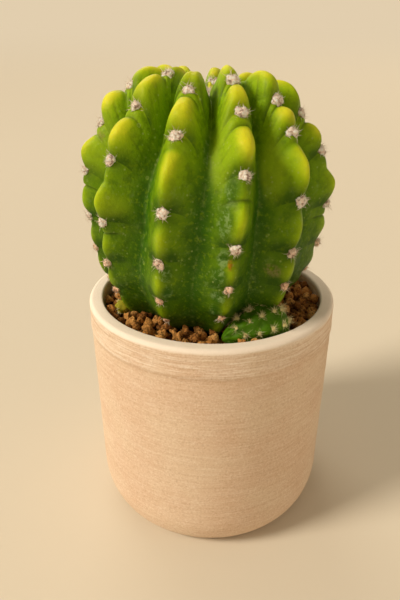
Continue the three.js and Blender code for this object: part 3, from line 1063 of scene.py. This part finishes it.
@dataclass
class Pot:
    """The clay pot, turned from one outline."""

    radius: float = 55
    height: float = 106
    wall: float = 5.8
    floor: float = 7
    foot_inset: float = 10
    foot_rise: float = 18
    lip: float = 1.9
    inner_lip: float = 0.9
    recess: float = 1.6
    recess_radius: float = 35
    drain_radius: float = 8
    drain_edge: float = 0.8
    corner_across: float = 11
    corner_up: float = 19
    sides: int = 240
    turning_marks: float = 0.28
    slots: int = 3
    slot_width: float = 7

    def outline(self) -> Array:
        """The pot's outline.

        Returns:
            Radius and height of points from the drain hole outside, over the rim and back.
        """
        rim, inner = self.height - self.lip, self.radius - self.wall
        hollow, foot = self.recess_radius + self.recess, self.radius - self.foot_inset
        corner, edge = self.floor + self.corner_up, self.drain_edge
        drain, brim = self.drain_radius + edge, self.height - self.inner_lip
        bend = (self.corner_across, self.corner_up)
        return np.concatenate([
            self._line((drain, self.recess), (self.recess_radius, self.recess), 6),
            self._line((self.recess_radius + 0.4, self.recess - 0.3), (hollow, 0), 4),
            self._line((hollow + 0.6, 0), (foot, 0), 7),
            self._arc((foot, self.foot_rise), (self.foot_inset, self.foot_rise), -90, 0, 30),
            self._line((self.radius, self.foot_rise + 1), (self.radius, rim - 0.4), 90),
            self._arc((self.radius - self.lip, rim), (self.lip, self.lip), 0, 90, 12),
            self._arc((inner + self.inner_lip, brim), (self.inner_lip, self.inner_lip), 90, 180, 8),
            self._line((inner, brim - 1), (inner, corner + 0.5), 30),
            self._arc((inner - self.corner_across, corner), bend, 0, -90, 12),
            self._line((inner - self.corner_across - 2, self.floor), (drain, self.floor), 8),
            self._arc((drain, self.floor - edge), (edge, edge), 90, 180, 4)[1:],
            self._arc((drain, self.recess + edge), (edge, edge), 180, 270, 4),
        ])

    @staticmethod
    def _line(start: Pair, end: Pair, steps: int) -> Array:
        """Points from start to end."""
        return np.linspace(start, end, steps)

    @staticmethod
    def _arc(centre: Pair, size: Pair, start: float, end: float, steps: int) -> Array:
        """Points of an elliptical arc between two angles in degrees."""
        turn = np.radians(np.linspace(start, end, steps))
        return np.stack(
            [centre[0] + size[0] * np.cos(turn), centre[1] + size[1] * np.sin(turn)], 1
        )

    def build(self) -> None:
        """Turns the pot and dresses it."""
        drawn = self.outline()
        points = np.zeros((len(drawn), 3))
        points[:, 0], points[:, 2] = drawn.T
        made = TurnedTree("Turned pot").grow(
            mesh_object("clay_pot", points), sides=self.sides, slots=self.slots,
            turning_marks=self.turning_marks * MM, slot_width=self.slot_width * MM,
            slot_depth=self.recess * MM, clay=CLAY.material(),
        )
        face_outwards(made.data)
        settle(made, "clay", "pot")


@dataclass(frozen=True)
class Rib:
    """One rib of the stem.

    Groove is the depth of the valley to its right; sunk is by how many millimetres its crown end
    lies deeper, and the angle at which that starts; folds are the lobes below the shoulder, counted
    from 0 at the crown, that set in with a sharp fold; soft is the angle from which on the others
    set in gently.
    """

    azimuth: float
    lean: float
    fullness: Pair
    areoles: tuple[float, ...]
    groove: Pair = (1, 1)
    sunk: Pair = (0, 20)
    folds: tuple[int, ...] = ()
    soft: float = 66


RIBS = (
    Rib(
        -19, 8.5, (1, 0.99), (15, 36, 55, 83, 105, 123, 137), groove=(0.95, 0.58), sunk=(6.5, 40),
        soft=57,
    ),
    Rib(11.5, 6.4, (1, 1), (13, 31, 46, 69, 97, 115, 131), folds=(4, 5)),
    Rib(39.5, 3.2, (0.99, 1), (20, 41, 55, 81, 103, 118, 133), sunk=(4.5, 38), soft=54),
    Rib(76.6, -16, (0.95, 0.98), (17, 47, 65, 90, 111, 126, 139), sunk=(6, 48), folds=(4,)),
    Rib(108, -9, (0.88, 0.97), (15, 34, 56, 80, 101, 118, 133)),
    Rib(138, -3, (0.92, 0.97), (18, 38, 60, 86, 107, 123, 136), folds=(4,)),
    Rib(168, 3, (0.97, 0.98), (14, 33, 53, 77, 99, 116, 131)),
    Rib(199, 6, (0.98, 0.98), (17, 37, 58, 84, 105, 121, 135), folds=(3, 5)),
    Rib(229, 4, (0.98, 0.97), (13, 32, 52, 75, 98, 116, 132)),
    Rib(257, 1, (0.97, 0.92), (16, 36, 60, 87, 108, 124, 137)),
    Rib(282.8, 2, (0.97, 0.99), (14, 34, 53, 75, 96, 112, 128), folds=(4,)),
    Rib(309.5, 12, (0.99, 1), (8, 25, 44, 66, 92, 112, 127), folds=(5,)),
)
ANGLE_STEP = 25.0
SHOULDER, WAIST = 40.0, 110.0
CREST_TOP, CREST_FULL = 32.0, 76.0


class Mark(Enum):
    """A kind of blemish, by the name that the mesh stores it under."""

    SCURF = "scurf"
    SCAB = "scab"
    CORK = "cork"
    BLUSH = "blush"


@dataclass(frozen=True)
class Blemish:
    """A mark on one rib: shares across it and degrees down it, for its place and its reach."""

    rib: int
    across: float
    angle: float
    width: float
    length: float


BLEMISHES = {
    Mark.SCURF: (
        Blemish(1, -0.3, 74, 0.17, 5),
        Blemish(1, -0.36, 86, 0.2, 7),
        Blemish(1, -0.26, 102, 0.16, 4),
        Blemish(1, -0.3, 109, 0.2, 3.5),
        Blemish(1, -0.26, 119, 0.2, 3),
        Blemish(1, -0.24, 126, 0.2, 4),
        Blemish(0, 0.2, 110, 0.18, 4),
        Blemish(0, 0.26, 118, 0.14, 3),
        Blemish(0, 0.95, 56, 0.16, 7),
    ),
    Mark.SCAB: (Blemish(1, -0.07, 104, 0.07, 1.9),),
    Mark.CORK: (Blemish(2, -0.42, 112, 0.22, 2.6), Blemish(10, 0.3, 58, 0.14, 1.6)),
    Mark.BLUSH: (
        Blemish(1, -0.62, 60, 0.34, 14),
        Blemish(1, -0.4, 48, 0.3, 10),
        Blemish(2, -0.62, 66, 0.3, 15),
        Blemish(10, 0.3, 62, 0.5, 14),
        Blemish(11, 0.1, 84, 0.5, 6),
    ),
}


def along_table(table: Sequence[float], angle: Array) -> Array:
    """Reads a table with one entry for each ANGLE_STEP degrees as a smooth curve.

    Args:
        table: The entries.
        angle: Degrees from the crown.

    Returns:
        The curve's value at each angle.
    """
    entries = np.array([table[1], *table, 2 * table[-1] - table[-2]], float)
    place = np.clip(angle / ANGLE_STEP, 0, len(table) - 1 - 1e-4)
    i = np.floor(place).astype(int)
    t = place - i
    a, b, c, d = (entries[i + k] for k in range(4))
    bend = (2 * a - 5 * b + 4 * c - d) * t**2 + (-a + 3 * b - 3 * c + d) * t**3
    return 0.5 * (2 * b + (c - a) * t + bend)


def between(pair: Pair, angle: Array, top: float = SHOULDER, low: float = WAIST) -> Array:
    """A pair of figures for the shoulder and the waist, at an angle from the crown."""
    return pair[0] + (pair[1] - pair[0]) * smooth(angle, top, low)


def sharpened(pair: Pair, angle: Array) -> Array:
    """A pair of figures for the crown's broad crests and the flanks' narrow ones, at an angle."""
    return between(pair, angle, CREST_TOP, CREST_FULL)


@dataclass
class Stem:
    """The ribbed stem: one skin whose radius follows the ribs, lobes, creases and areoles.

    Across runs over a rib from the valley on its left (-1) over its crest (0) to that on its right.
    The tables hold radii for each ANGLE_STEP degrees; the pairs hold a figure high on the stem and
    one low on it.
    """

    centre: Triple = (-2.2, 3.0, 148.0)
    notch_radius: tuple[float, ...] = (40.5, 53.5, 53.6, 52.4, 50.8, 55.4, 58.8, 58.8)
    valley_radius: tuple[float, ...] = (39.5, 44.5, 42.5, 41.5, 42, 49.5, 56.3, 56.3)
    swelling: Pair = (0.21, 0.06)
    neck: tuple[float, ...] = (0.18, 0.18, 0.22, 0.32, 0.27, 0.13, 0.1)
    unevenness: float = 0.16
    chevron: Pair = (18, 4)
    chevron_curve: float = 2.5
    bluntness: Pair = (2.5, 1.25)
    hollowness: Pair = (1.5, 1.6)
    rounding: float = 0.07
    lobe_width: Pair = (0.9, 2.6)
    abruptness: Pair = (0.62, 1.25)
    first_ring: float = 1.2
    top_angle: float = 4
    bottom_angle: float = 152
    waves: tuple[tuple[float, int, float], ...] = ((30, 5, 0.5), (12, 6, 0.22), (7, 7, 0.12))
    dent_radius: float = 2.3
    dent_depth: float = 0.6
    # how far the painted shade round each areole reaches
    areole_shade_radius: float = 5.0
    valley_line: float = 0.6
    columns_per_rib: int = 40
    rows: int = 200
    outline: Array = field(init=False)

    def crest_azimuth(self, rib: int, angle: Array) -> Array:
        """Where a rib's crest runs, in degrees from the front."""
        rib %= len(RIBS)
        return RIBS[rib].azimuth + RIBS[rib].lean * np.cos(np.radians(angle))

    def half_gap(self, rib: int, side: Array, angle: Array) -> Array:
        """Half the angle from a rib to its neighbour.

        Args:
            rib: The rib's number.
            side: Below 0 for the neighbour on the left.
            angle: Degrees from the crown.

        Returns:
            The half angles, in degrees.
        """
        here = self.crest_azimuth(rib, angle)
        right = (self.crest_azimuth(rib + 1, angle) - here) % 360 / 2
        left = (here - self.crest_azimuth(rib - 1, angle)) % 360 / 2
        return np.where(side < 0, left, right)

    def lobes(self, rib: int, side: Array, angle: Array) -> tuple[Array, ...]:
        """How a rib swells between its areoles.

        Args:
            rib: The rib's number.
            side: Shares of the way from crest to valley, from 0 to 1.
            angle: Degrees from the crown.

        Returns:
            The swelling's height in millimetres, its share of the full height, how far down the
            lobe each place lies from 0 to 1, and the crease.
        """
        soft = RIBS[rib].soft
        ends = np.array([self.top_angle, *RIBS[rib].areoles, self.bottom_angle], float)
        place = angle - between(self.chevron, angle) * side**self.chevron_curve
        part = np.searchsorted(ends, place, side="right") - 1
        inside = (part >= 0) & (part < len(ends) - 1)
        part = np.clip(part, 0, len(ends) - 2)
        start, stop = ends[part], ends[part + 1]
        length = np.radians(stop - start) * along_table(self.notch_radius, (start + stop) / 2)
        share = (place - start) / (stop - start)
        neck = along_table(self.neck, angle)
        neck = neck * (1 - 0.4 * smooth(angle, soft - 12, soft) * (soft < 60))
        body = np.clip((share - neck) / (1 - neck), 0, 1)
        uneven = 1 + self.unevenness * np.sin(2.4 * rib + 1.7 * part)
        abrupt = between(self.abruptness, angle, CREST_TOP, soft)
        plump = np.sin(math.pi * body**0.95) ** abrupt * uneven
        small = 0.15 * np.sin(math.pi * np.clip(share / neck, 0, 1))
        form = np.where(inside, np.where(share < neck, small, plump), 0)

        def line(drop: float, slant: float, width: float) -> Array:
            """A fold across the rib, that share of a lobe below its neck and so many mm wide."""
            return bell((share - neck - drop - slant * side) * length / width)

        high = 1 - smooth(angle, soft - 16, soft + 9)
        strength = np.where(np.isin(part, RIBS[rib].folds), 1.7 - 0.7 * high, 0.1 + 0.9 * high)
        fold = line(0, 0, 0.45) * smooth(-side, -0.65, -0.2) * strength
        wrinkles = line(0.2, 0.1, 0.5) * 0.6 + line(0.36, 0.2, 0.5) * 0.4
        wrinkles = wrinkles * (smooth(side, 0.3, 0.45) * smooth(-side, -0.85, -0.6) * high)
        crease = np.clip(fold + wrinkles, 0, 1.6) * inside
        return between(self.swelling, angle) * length * form, form, body, crease

    def section(self, side: Array, angle: Array) -> Array:
        """The rib's cross-section.

        Args:
            side: Shares of the way from crest to valley.
            angle: Degrees from the crown.

        Returns:
            1 on the crest and 0 in the valleys.
        """
        bow = self.rounding
        rounded = (np.hypot(side, bow) - bow) / (math.hypot(1, bow) - bow)
        flat = np.clip(rounded, 0, 1) ** sharpened(self.bluntness, angle)
        return np.clip(1 - flat, 0, 1) ** sharpened(self.hollowness, angle)

    @staticmethod
    def shared(rib: int, across: Array, values: Sequence[Array]) -> Array:
        """A value that every rib has its own of, which in a valley is the mean of both ribs."""
        other = np.where(across < 0, values[rib - 1], values[(rib + 1) % len(RIBS)])
        return values[rib] + (other - values[rib]) * np.abs(across) / 2

    def place(self, rib: int, across: Array, angle: Array, lift: float = 0.0) -> Array:
        """Points of the skin before its fine relief.

        Args:
            rib: The rib's number.
            across: Places across the rib.
            angle: Degrees from the crown.
            lift: How far they stand off the skin, in millimetres.

        Returns:
            The points in millimetres.
        """
        side = np.abs(across)
        crest = self.section(side, angle)
        valley = along_table(self.valley_radius, angle)
        notch = along_table(self.notch_radius, angle)
        swell = self.lobes(rib, side, angle)[0] * crest ** sharpened(self.lobe_width, angle)
        groove = np.where(
            across < 0, sharpened(RIBS[rib - 1].groove, angle), sharpened(RIBS[rib].groove, angle)
        )
        full = self.shared(rib, across, [between(r.fullness, angle) for r in RIBS])
        radius = (notch - (notch - valley) * groove * (1 - crest) + swell) * full
        away = smooth(angle, 3, 13)
        sunk = [r.sunk[0] * away * smooth(-angle, -r.sunk[1], -0.4 * r.sunk[1]) for r in RIBS]
        return self.from_polar(
            rib, across, angle, radius - self.shared(rib, across, sunk) + lift
        )

    def from_polar(self, rib: int, across: Array, angle: Array, radius: Array) -> Array:
        """Points at a radius from the stem's centre.

        Args:
            rib: The rib's number.
            across: Places across the rib.
            angle: Degrees from the crown.
            radius: The radii, in millimetres.

        Returns:
            The points, in millimetres.
        """
        aside = across * self.half_gap(rib, across, angle)
        turn = np.radians(self.crest_azimuth(rib, angle) + aside)
        steep = np.radians(angle)
        x, y, z = self.centre
        out = radius * np.sin(steep)
        return np.stack(
            [x + out * np.sin(turn), y - out * np.cos(turn), z + radius * np.cos(steep)], -1
        )

    def _rib_skin(self, rib: int, across: Array, angle: Array) -> tuple[Array, dict[str, Array]]:
        """One rib's share of the skin.

        Args:
            rib: The rib's number.
            across: Places across the rib.
            angle: Degrees from the crown.

        Returns:
            The points with their fine relief, and their marks by name.
        """
        side = np.abs(across)
        crest = self.section(side, angle)
        _, lobe, share, crease = self.lobes(rib, side, angle)
        points = self.place(rib, across, angle)
        radius = np.linalg.norm(points - np.array(self.centre), axis=-1)
        half_width = np.radians(self.half_gap(rib, across, angle)) * radius
        half_width = half_width * np.sin(np.radians(angle))
        dent, halo = np.zeros_like(angle), np.zeros_like(angle)
        for seat in RIBS[rib].areoles:
            gap = np.hypot(np.radians(angle - seat) * radius, across * half_width)
            dent += bell(gap / self.dent_radius)
            halo += bell(gap / self.areole_shade_radius)
        low = smooth(angle, 60, 110)
        relief = sum(wobble(points, size, seed) * height for size, seed, height in self.waves)
        relief = relief - crease * (0.55 - 0.2 * low) - dent * self.dent_depth
        line = bell((1 - side) * half_width / self.valley_line)
        marks = {
            "crest": crest,
            "lobe": lobe * crest,
            "share": share,
            "age": angle / self.bottom_angle,
            # Painted shade: the crease mark only darkens the skin in the creases and areole dents.
            "crease": np.clip(crease * (1 - 0.5 * low) + dent * 0.2, 0, 1),
            # Painted shade: this mark darkens the skin round each areole.
            "halo": np.clip(halo, 0, 1) * (0.35 + 0.65 * smooth(angle, 45, 75)),
            "valley": line * smooth(angle, 50, 80),
        }
        for mark, spots in BLEMISHES.items():
            marks[mark.value] = np.zeros_like(angle)
            for spot in (s for s in spots if s.rib == rib):
                off = np.hypot(
                    (across - spot.across) / spot.width, (angle - spot.angle) / spot.length
                )
                marks[mark.value] = np.maximum(marks[mark.value], smooth(-off, -1.3, -0.5))
        return self.from_polar(rib, across, angle, radius + relief), marks

    def build(self) -> None:
        """Makes the skin of all ribs as one closed mesh."""
        columns = np.linspace(-1, 1, self.columns_per_rib, endpoint=False)
        rows = np.linspace(self.first_ring, self.bottom_angle, self.rows)
        across, angle = np.meshgrid(columns, rows)
        follow = between(self.chevron, angle) * smooth(angle, 4, 26)
        follow = follow * smooth(-angle, -self.bottom_angle, -125)
        angle = angle + follow * np.abs(across) ** self.chevron_curve
        skins = [self._rib_skin(rib, across, angle) for rib in range(len(RIBS))]
        points = np.concatenate([skin[0] for skin in skins], axis=1)
        points[..., 2] = np.maximum(points[..., 2], BED)
        self.outline = points
        x, y, _ = self.centre
        flat = np.vstack([[x, y, points[0, :, 2].mean()], points.reshape(-1, 3), [x, y, BED]])
        marks = {}
        for kind in skins[0][1]:
            whole = np.concatenate([skin[1][kind] for skin in skins], axis=1)
            marks[kind] = np.concatenate([[whole[0].mean()], whole.ravel(), [whole[-1].mean()]])
        faces = ring_faces(self.rows, self.columns_per_rib * len(RIBS))
        made = mesh_object("cactus_stem", flat, faces, SKIN, marks)
        face_outwards(made.data)
        settle(made, "skin", "stem")

    def reach_at(self, height: float) -> tuple[Array, Array]:
        """The stem's outline at a height.

        Args:
            height: The height in millimetres.

        Returns:
            Azimuths in radians, in order, and the outline's distance from the pot's axis at each.
        """
        lower = self.outline[self.rows // 2 :]
        level = np.argmin(np.abs(lower[..., 2] - height), axis=0)
        edge = lower[level, np.arange(lower.shape[1])]
        turn = np.arctan2(edge[:, 0], -edge[:, 1])
        order = np.argsort(turn)
        return turn[order], np.hypot(edge[:, 0], edge[:, 1])[order]


@dataclass(frozen=True)
class Wool:
    """The looks of areoles: sizes in millimetres, and needles to the square millimetre."""

    felt: Finish = FELT
    horn: Finish = SPINE
    radius: float = 2.3
    hair_length: float = 0.7
    hair_density: float = 4.0
    spine_length: float = 2.2
    spine_density: float = 0.8
    needle_width: float = 0.2


@dataclass
class Areoles:
    """The felted cushions with spines on every rib, and the wool in the crown."""

    stem: Stem
    tree: AreoleTree
    wool: Wool = Wool()
    crown_wool: Wool = Wool(hair_length=1.4, hair_density=6.0, spine_density=0.4)
    sizes: tuple[float, ...] = (0.72, 1.0, 0.97, 0.9, 0.8, 0.7, 0.64)
    sunk: float = 0.3
    solids_per_rib: int = 4
    crown_tufts: tuple[tuple[float, ...], ...] = (
        (0, 0, 187.8, 1.2),
        (3.4, 1.2, 188.6, 0.9),
        (-3.2, 1.6, 188.4, 0.85),
        (0.6, -3.4, 188.2, 0.9),
        (-0.8, 3.6, 188.8, 0.8),
    )
    crown_core: float = 182.0

    def grow(
        self, name: str, seats: Array, outward: Array, sizes: Array, wool: Wool
    ) -> bpy.types.Object:
        """Grows one piece of areoles.

        Args:
            name: The piece's name.
            seats: Where each cushion sits, in millimetres.
            outward: The direction that each faces.
            sizes: The size of each against the full one.
            wool: Their looks.

        Returns:
            The piece.
        """
        outward = outward / np.linalg.norm(outward, axis=-1, keepdims=True)
        return self.tree.grow(
            mesh_object(name, seats, marks={"outward": outward, "size": sizes}),
            cushion_radius=wool.radius * MM,
            hair_length=wool.hair_length * MM,
            hair_density=wool.hair_density / MM**2,
            spine_length=wool.spine_length * MM,
            spine_density=wool.spine_density / MM**2,
            needle_width=wool.needle_width * MM,
            seed=sum(map(ord, name)),
            felt=wool.felt.material(),
            horn=wool.horn.material(),
        )

    def build(self) -> None:
        """Makes one piece for each rib, and the crown's wool."""
        centre = np.array(self.stem.centre)
        for number, rib in enumerate(RIBS):
            angle = np.array(rib.areoles, float)
            seats = self.stem.place(number, np.zeros_like(angle), angle, -self.sunk)
            outward = seats - centre
            outward /= np.linalg.norm(outward, axis=1, keepdims=True)
            outward[:, 2] += 0.1
            label = f"rib{number + 1:02d}"
            piece = self.grow(f"areoles_{label}", seats, outward, np.array(self.sizes), self.wool)
            solids = [f"areole_{label}_{place + 1}" for place in range(self.solids_per_rib)]
            settle(piece, "felt", *solids)
        x, y, _ = self.stem.centre
        tufts = np.array(self.crown_tufts)
        spots = tufts[:, :3] + np.array([x, y, 0])
        up = spots - np.array([x, y, self.crown_core])
        crown = self.grow("crown_felt", spots, up, tufts[:, 3], self.crown_wool)
        settle(crown, "felt", "crown_wool")


@dataclass
class Offset:
    """A young club-shaped stem with low ribs of small areoles."""

    name: str
    slot: str
    finish: Finish
    base: Triple
    tip: Triple
    radius: float
    ribs: int
    rib_depth: float
    areole_rows: tuple[float, ...]
    areole_size: float
    lumps: float = 0.055
    spine_length: float = 2.3
    rows: int = 72
    columns_per_rib: int = 20

    def thickness(self, share: Array, margin: float) -> Array:
        """The club's radius at shares of the way from its tip to its base, less a margin."""
        return self.radius * np.sin(math.pi * np.clip(share, margin, 1 - margin) ** 0.62) ** 0.55

    def _skin(self, share: Array, turn: Array) -> tuple[Array, Array]:
        """Points of the skin.

        Args:
            share: Shares of the way from the tip to the base.
            turn: Turns about the axis, in radians.

        Returns:
            The points in millimetres, and the rib's section there, which is 1 on its crest.
        """
        wave = 0.5 + 0.5 * np.cos(self.ribs * turn)
        alternate = np.cos(self.ribs * turn / 2)
        bumps = np.cos(FULL_TURN * share * len(self.areole_rows)) * alternate
        uneven = 1 + self.rib_depth * (wave - 0.6) + self.lumps * bumps
        radius = self.thickness(share, 1e-4) * uneven
        axis = np.array(self.tip) - np.array(self.base)
        length = float(np.linalg.norm(axis))
        lie = Vector((0, 0, 1)).rotation_difference(Vector(axis))
        across, up, along = (np.array(lie @ Vector(v)) for v in ((1, 0, 0), (0, 1, 0), (0, 0, 1)))
        out = np.cos(turn)[..., None] * across + np.sin(turn)[..., None] * up
        middle = np.array(self.base) + along * (length * (1 - share))[..., None]
        return middle + out * radius[..., None], wave

    def _seats(self) -> Array:
        """Finds the areoles that are above the dressing.

        Returns:
            Their places, in millimetres.
        """
        seats = []
        for place in self.areole_rows:
            for rib in range(self.ribs):
                shift = 0.5 * (1 / len(self.areole_rows)) * (rib % 2)
                where = np.array([min(place + shift * 0.8, 0.93)])
                seat = self._skin(where, np.array([rib * FULL_TURN / self.ribs]))[0][0]
                if seat[2] > BED + 3:
                    seats.append(seat)
        return np.array(seats)

    def build(self, areoles: Areoles) -> None:
        """Makes the body and its areoles.

        Args:
            areoles: What grows them.
        """
        share, turn = np.meshgrid(
            (np.arange(self.rows) + 0.5) / self.rows,
            np.linspace(0, FULL_TURN, self.ribs * self.columns_per_rib, endpoint=False),
            indexing="ij",
        )
        points, wave = self._skin(share, turn)
        points += (wobble(points, 9, 3) * 0.18 + wobble(points, 4, 8) * 0.12)[..., None]
        flat = np.vstack([self.tip, points.reshape(-1, 3), self.base])
        flat[:, 2] = np.maximum(flat[:, 2], BED)
        zero = np.zeros(len(flat))
        crest = np.concatenate([[0.6], 0.1 + 0.5 * wave.ravel(), [0.4]])
        marks = {
            "crest": crest, "lobe": crest * 0.5, "age": zero + 0.3, "crease": zero,
            "share": zero + 0.5,
        }
        faces = ring_faces(self.rows, share.shape[1])
        body = mesh_object(f"{self.name}_body", flat, faces, self.finish, marks)
        face_outwards(body.data)
        settle(body, self.slot, self.name)
        seats = self._seats()
        outward = seats - (np.array(self.base) * 0.5 + np.array(self.tip) * 0.5)
        wool = Wool(
            YOUNG_FELT, YOUNG_SPINE, hair_length=0.4, hair_density=6.0,
            spine_length=self.spine_length, spine_density=10.0, needle_width=0.13,
        )
        sizes = np.full(len(seats), self.areole_size)
        settle(areoles.grow(f"{self.name}_areoles", seats, outward, sizes, wool), "felt")


@dataclass
class Dressing:
    """Loose clay granules, dropped one by one between the stem and the pot's wall."""

    stem: Stem
    offsets: tuple[Offset, ...]
    wall: float = 49.2
    top: float = 104.5
    stem_level: float = 101.0
    sizes: Pair = (1.9, 3.2)
    nesting: float = 0.92
    count: int = 1100
    tries: int = 10
    seed: int = 11

    def _clear(self, spots: Array, radius: float) -> Array:
        """Tests a grain against the wall, the stem and the offsets.

        Args:
            spots: Places for its centre, as x and y.
            radius: Its radius.

        Returns:
            Whether it is clear of them at each spot.
        """
        reach = np.hypot(spots[:, 0], spots[:, 1])
        turns, edge = self.stem.reach_at(self.stem_level)
        inner = np.interp(np.arctan2(spots[:, 0], -spots[:, 1]), turns, edge, period=FULL_TURN)
        fine = (reach < self.wall - radius * 0.97) & (reach > inner + radius * 0.25)
        for young in self.offsets:
            base, tip = np.array(young.base[:2]), np.array(young.tip[:2])
            line = tip - base
            share = np.clip((spots - base) @ line / (line @ line), 0, 1)
            gap = np.linalg.norm(spots - (base + share[:, None] * line), axis=1)
            fine &= gap > young.thickness(1 - share, 0.02) * 0.8 + radius * 0.8
        return fine

    def drop(self) -> tuple[Array, Array]:
        """Drops the grains.

        Returns:
            Their centres and their radii, in millimetres.
        """
        draw = np.random.default_rng(self.seed)
        placed = np.zeros((0, 4))
        for _ in range(self.count):
            radius = draw.uniform(*self.sizes)
            turn = draw.uniform(0, FULL_TURN, self.tries)
            out = np.sqrt(draw.uniform(0.2, 1, self.tries)) * self.wall
            spots = np.stack([out * np.sin(turn), -out * np.cos(turn)], 1)
            spots = spots[self._clear(spots, radius)]
            if not len(spots):
                continue
            rest = np.full(len(spots), BED + radius * 0.6)
            if len(placed):
                gap = np.linalg.norm(spots[:, None] - placed[None, :, :2], axis=2)
                touch = (placed[:, 3] + radius) * self.nesting
                lift = placed[:, 2] + np.sqrt(np.maximum(touch**2 - gap**2, 0))
                rest = np.maximum(rest, np.where(gap < touch, lift, -np.inf).max(axis=1))
            best = int(np.argmin(rest))
            if rest[best] + radius < self.top + draw.uniform(-0.5, 0.6):
                placed = np.vstack([placed, [*spots[best], rest[best], radius]])
        return placed[:, :3], placed[:, 3]

    def build(self) -> None:
        """Makes the grains on their places."""
        centres, radii = self.drop()
        points = mesh_object("clay_granules", centres, marks={"size": radii * MM})
        grown = GranuleTree("Clay granules").grow(
            points, lumpiness=0.6, seed=4, clay=GRANULE.material()
        )
        LOG.info("%d granules", len(radii))
        settle(grown, "granules", "top_dressing")


# ---- The studio ----


@dataclass(frozen=True)
class Beam:
    """An even light: its colour, where it comes from, its width in degrees and its strength."""

    colour: Triple
    towards: Triple
    softness: float
    power: float


class Lamp(Enum):
    """The studio's lamps."""

    KEY = Beam((1.0, 0.89, 0.72), (-0.74, -0.26, 0.62), 16, 2.7)
    FILL = Beam((1.0, 0.83, 0.6), (0.7, -0.6, 0.4), 60, 0.12)
    RIM = Beam((1.0, 0.92, 0.76), (-0.3, 0.75, 0.6), 40, 0.8)


@dataclass
class Studio:
    """A round sweep of pale floor, the lamps, the room's light and the camera."""

    camera_place: Triple = (-5.17, -209.5, 201.6)
    camera_pitch: float = 64.1
    lens: float = 30.0
    sensor: float = 36.0
    flat_radius: float = 1000
    floor_radius: float = 8000
    sweep_height: float = 3500
    rings: int = 24
    sides: int = 96
    room: tuple[float, float, float, float] = (1.0, 0.83, 0.6, 1.0)
    room_strength: float = 0.36

    @staticmethod
    def hang(lamp: Lamp) -> None:
        """Adds a lamp.

        Args:
            lamp: The lamp.
        """
        beam, name = lamp.value, f"{lamp.name.lower()}_lamp"
        data = bpy.data.lights.new(name, "SUN")
        data.color, data.energy, data.angle = beam.colour, beam.power, math.radians(beam.softness)
        made = bpy.data.objects.new(name, data)
        made.rotation_euler = Vector(beam.towards).to_track_quat("Z", "Y").to_euler()
        bpy.context.collection.objects.link(made)

    def sweep(self) -> None:
        """Adds the floor, which curves up all round far behind the object."""
        share = np.linspace(0, 1, self.rings)
        reach = self.flat_radius + (self.floor_radius - self.flat_radius) * share
        height = self.sweep_height * share**2
        turn = np.linspace(0, FULL_TURN, self.sides, endpoint=False)
        rings = [
            np.stack([r * np.cos(turn), r * np.sin(turn), np.full(self.sides, z)], 1)
            for r, z in zip(reach, height)
        ]
        points = np.vstack([[[0, 0, 0]], *rings])
        faces = ring_faces(self.rings, self.sides)[: -self.sides]
        mesh_object("floor_sweep", points, faces, Backdrop("pale_floor"))

    def build(self) -> None:
        """Sets up everything around the object."""
        self.sweep()
        for lamp in Lamp:
            self.hang(lamp)
        scene = bpy.context.scene
        world = bpy.data.worlds.new("soft_room")
        world.use_nodes = True
        background = world.node_tree.nodes["Background"]
        background.inputs["Color"].default_value = self.room
        background.inputs["Strength"].default_value = self.room_strength
        scene.world = world
        scene.view_settings.view_transform = "Standard"
        data = bpy.data.cameras.new("camera")
        data.lens, data.sensor_width = self.lens, self.sensor
        camera = bpy.data.objects.new("camera", data)
        camera.location = Vector(self.camera_place) * MM
        camera.rotation_euler = (math.radians(self.camera_pitch), 0, 0)
        bpy.context.collection.objects.link(camera)
        scene.camera = camera


def dress(node: str, finish: Finish) -> None:
    """Gives a solid that keeps its shape its finish.

    Args:
        node: The solid's node.
        finish: The finish.
    """
    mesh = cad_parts[node].data
    mesh.materials.clear()
    mesh.materials.append(finish.material())
    LOG.info("%s: dressed in %s", node, finish.name)


def main() -> None:
    """Builds the studio, then the object in order from the pot up."""
    logging.basicConfig(level=logging.INFO, format="%(message)s")
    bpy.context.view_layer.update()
    Studio().build()
    Pot().build()
    for node, finish in HIDDEN.items():
        dress(node, finish)
    stem = Stem()
    stem.build()
    areoles = Areoles(stem, AreoleTree("Areoles"))
    areoles.build()
    offsets = (
        Offset(
            "large_offset", "young_skin", YOUNG_SKIN, base=(3.5, -39.2, 102),
            tip=(29.5, -31.2, 107), radius=8, ribs=8, rib_depth=0.07,
            areole_rows=(0.03, 0.15, 0.33, 0.52, 0.72), areole_size=0.32,
        ),
        Offset(
            "small_offset", "pale_skin", PALE_SKIN, base=(-37.8, -13.5, 99.5),
            tip=(-39.2, -15.6, 106.5), radius=3.1, ribs=6, rib_depth=0.06,
            areole_rows=(0.15, 0.5), areole_size=0.2, lumps=0.13, spine_length=0.8,
        ),
    )
    for young in offsets:
        young.build(areoles)
    Dressing(stem, offsets).build()


if __name__ == "__main__":
    main()
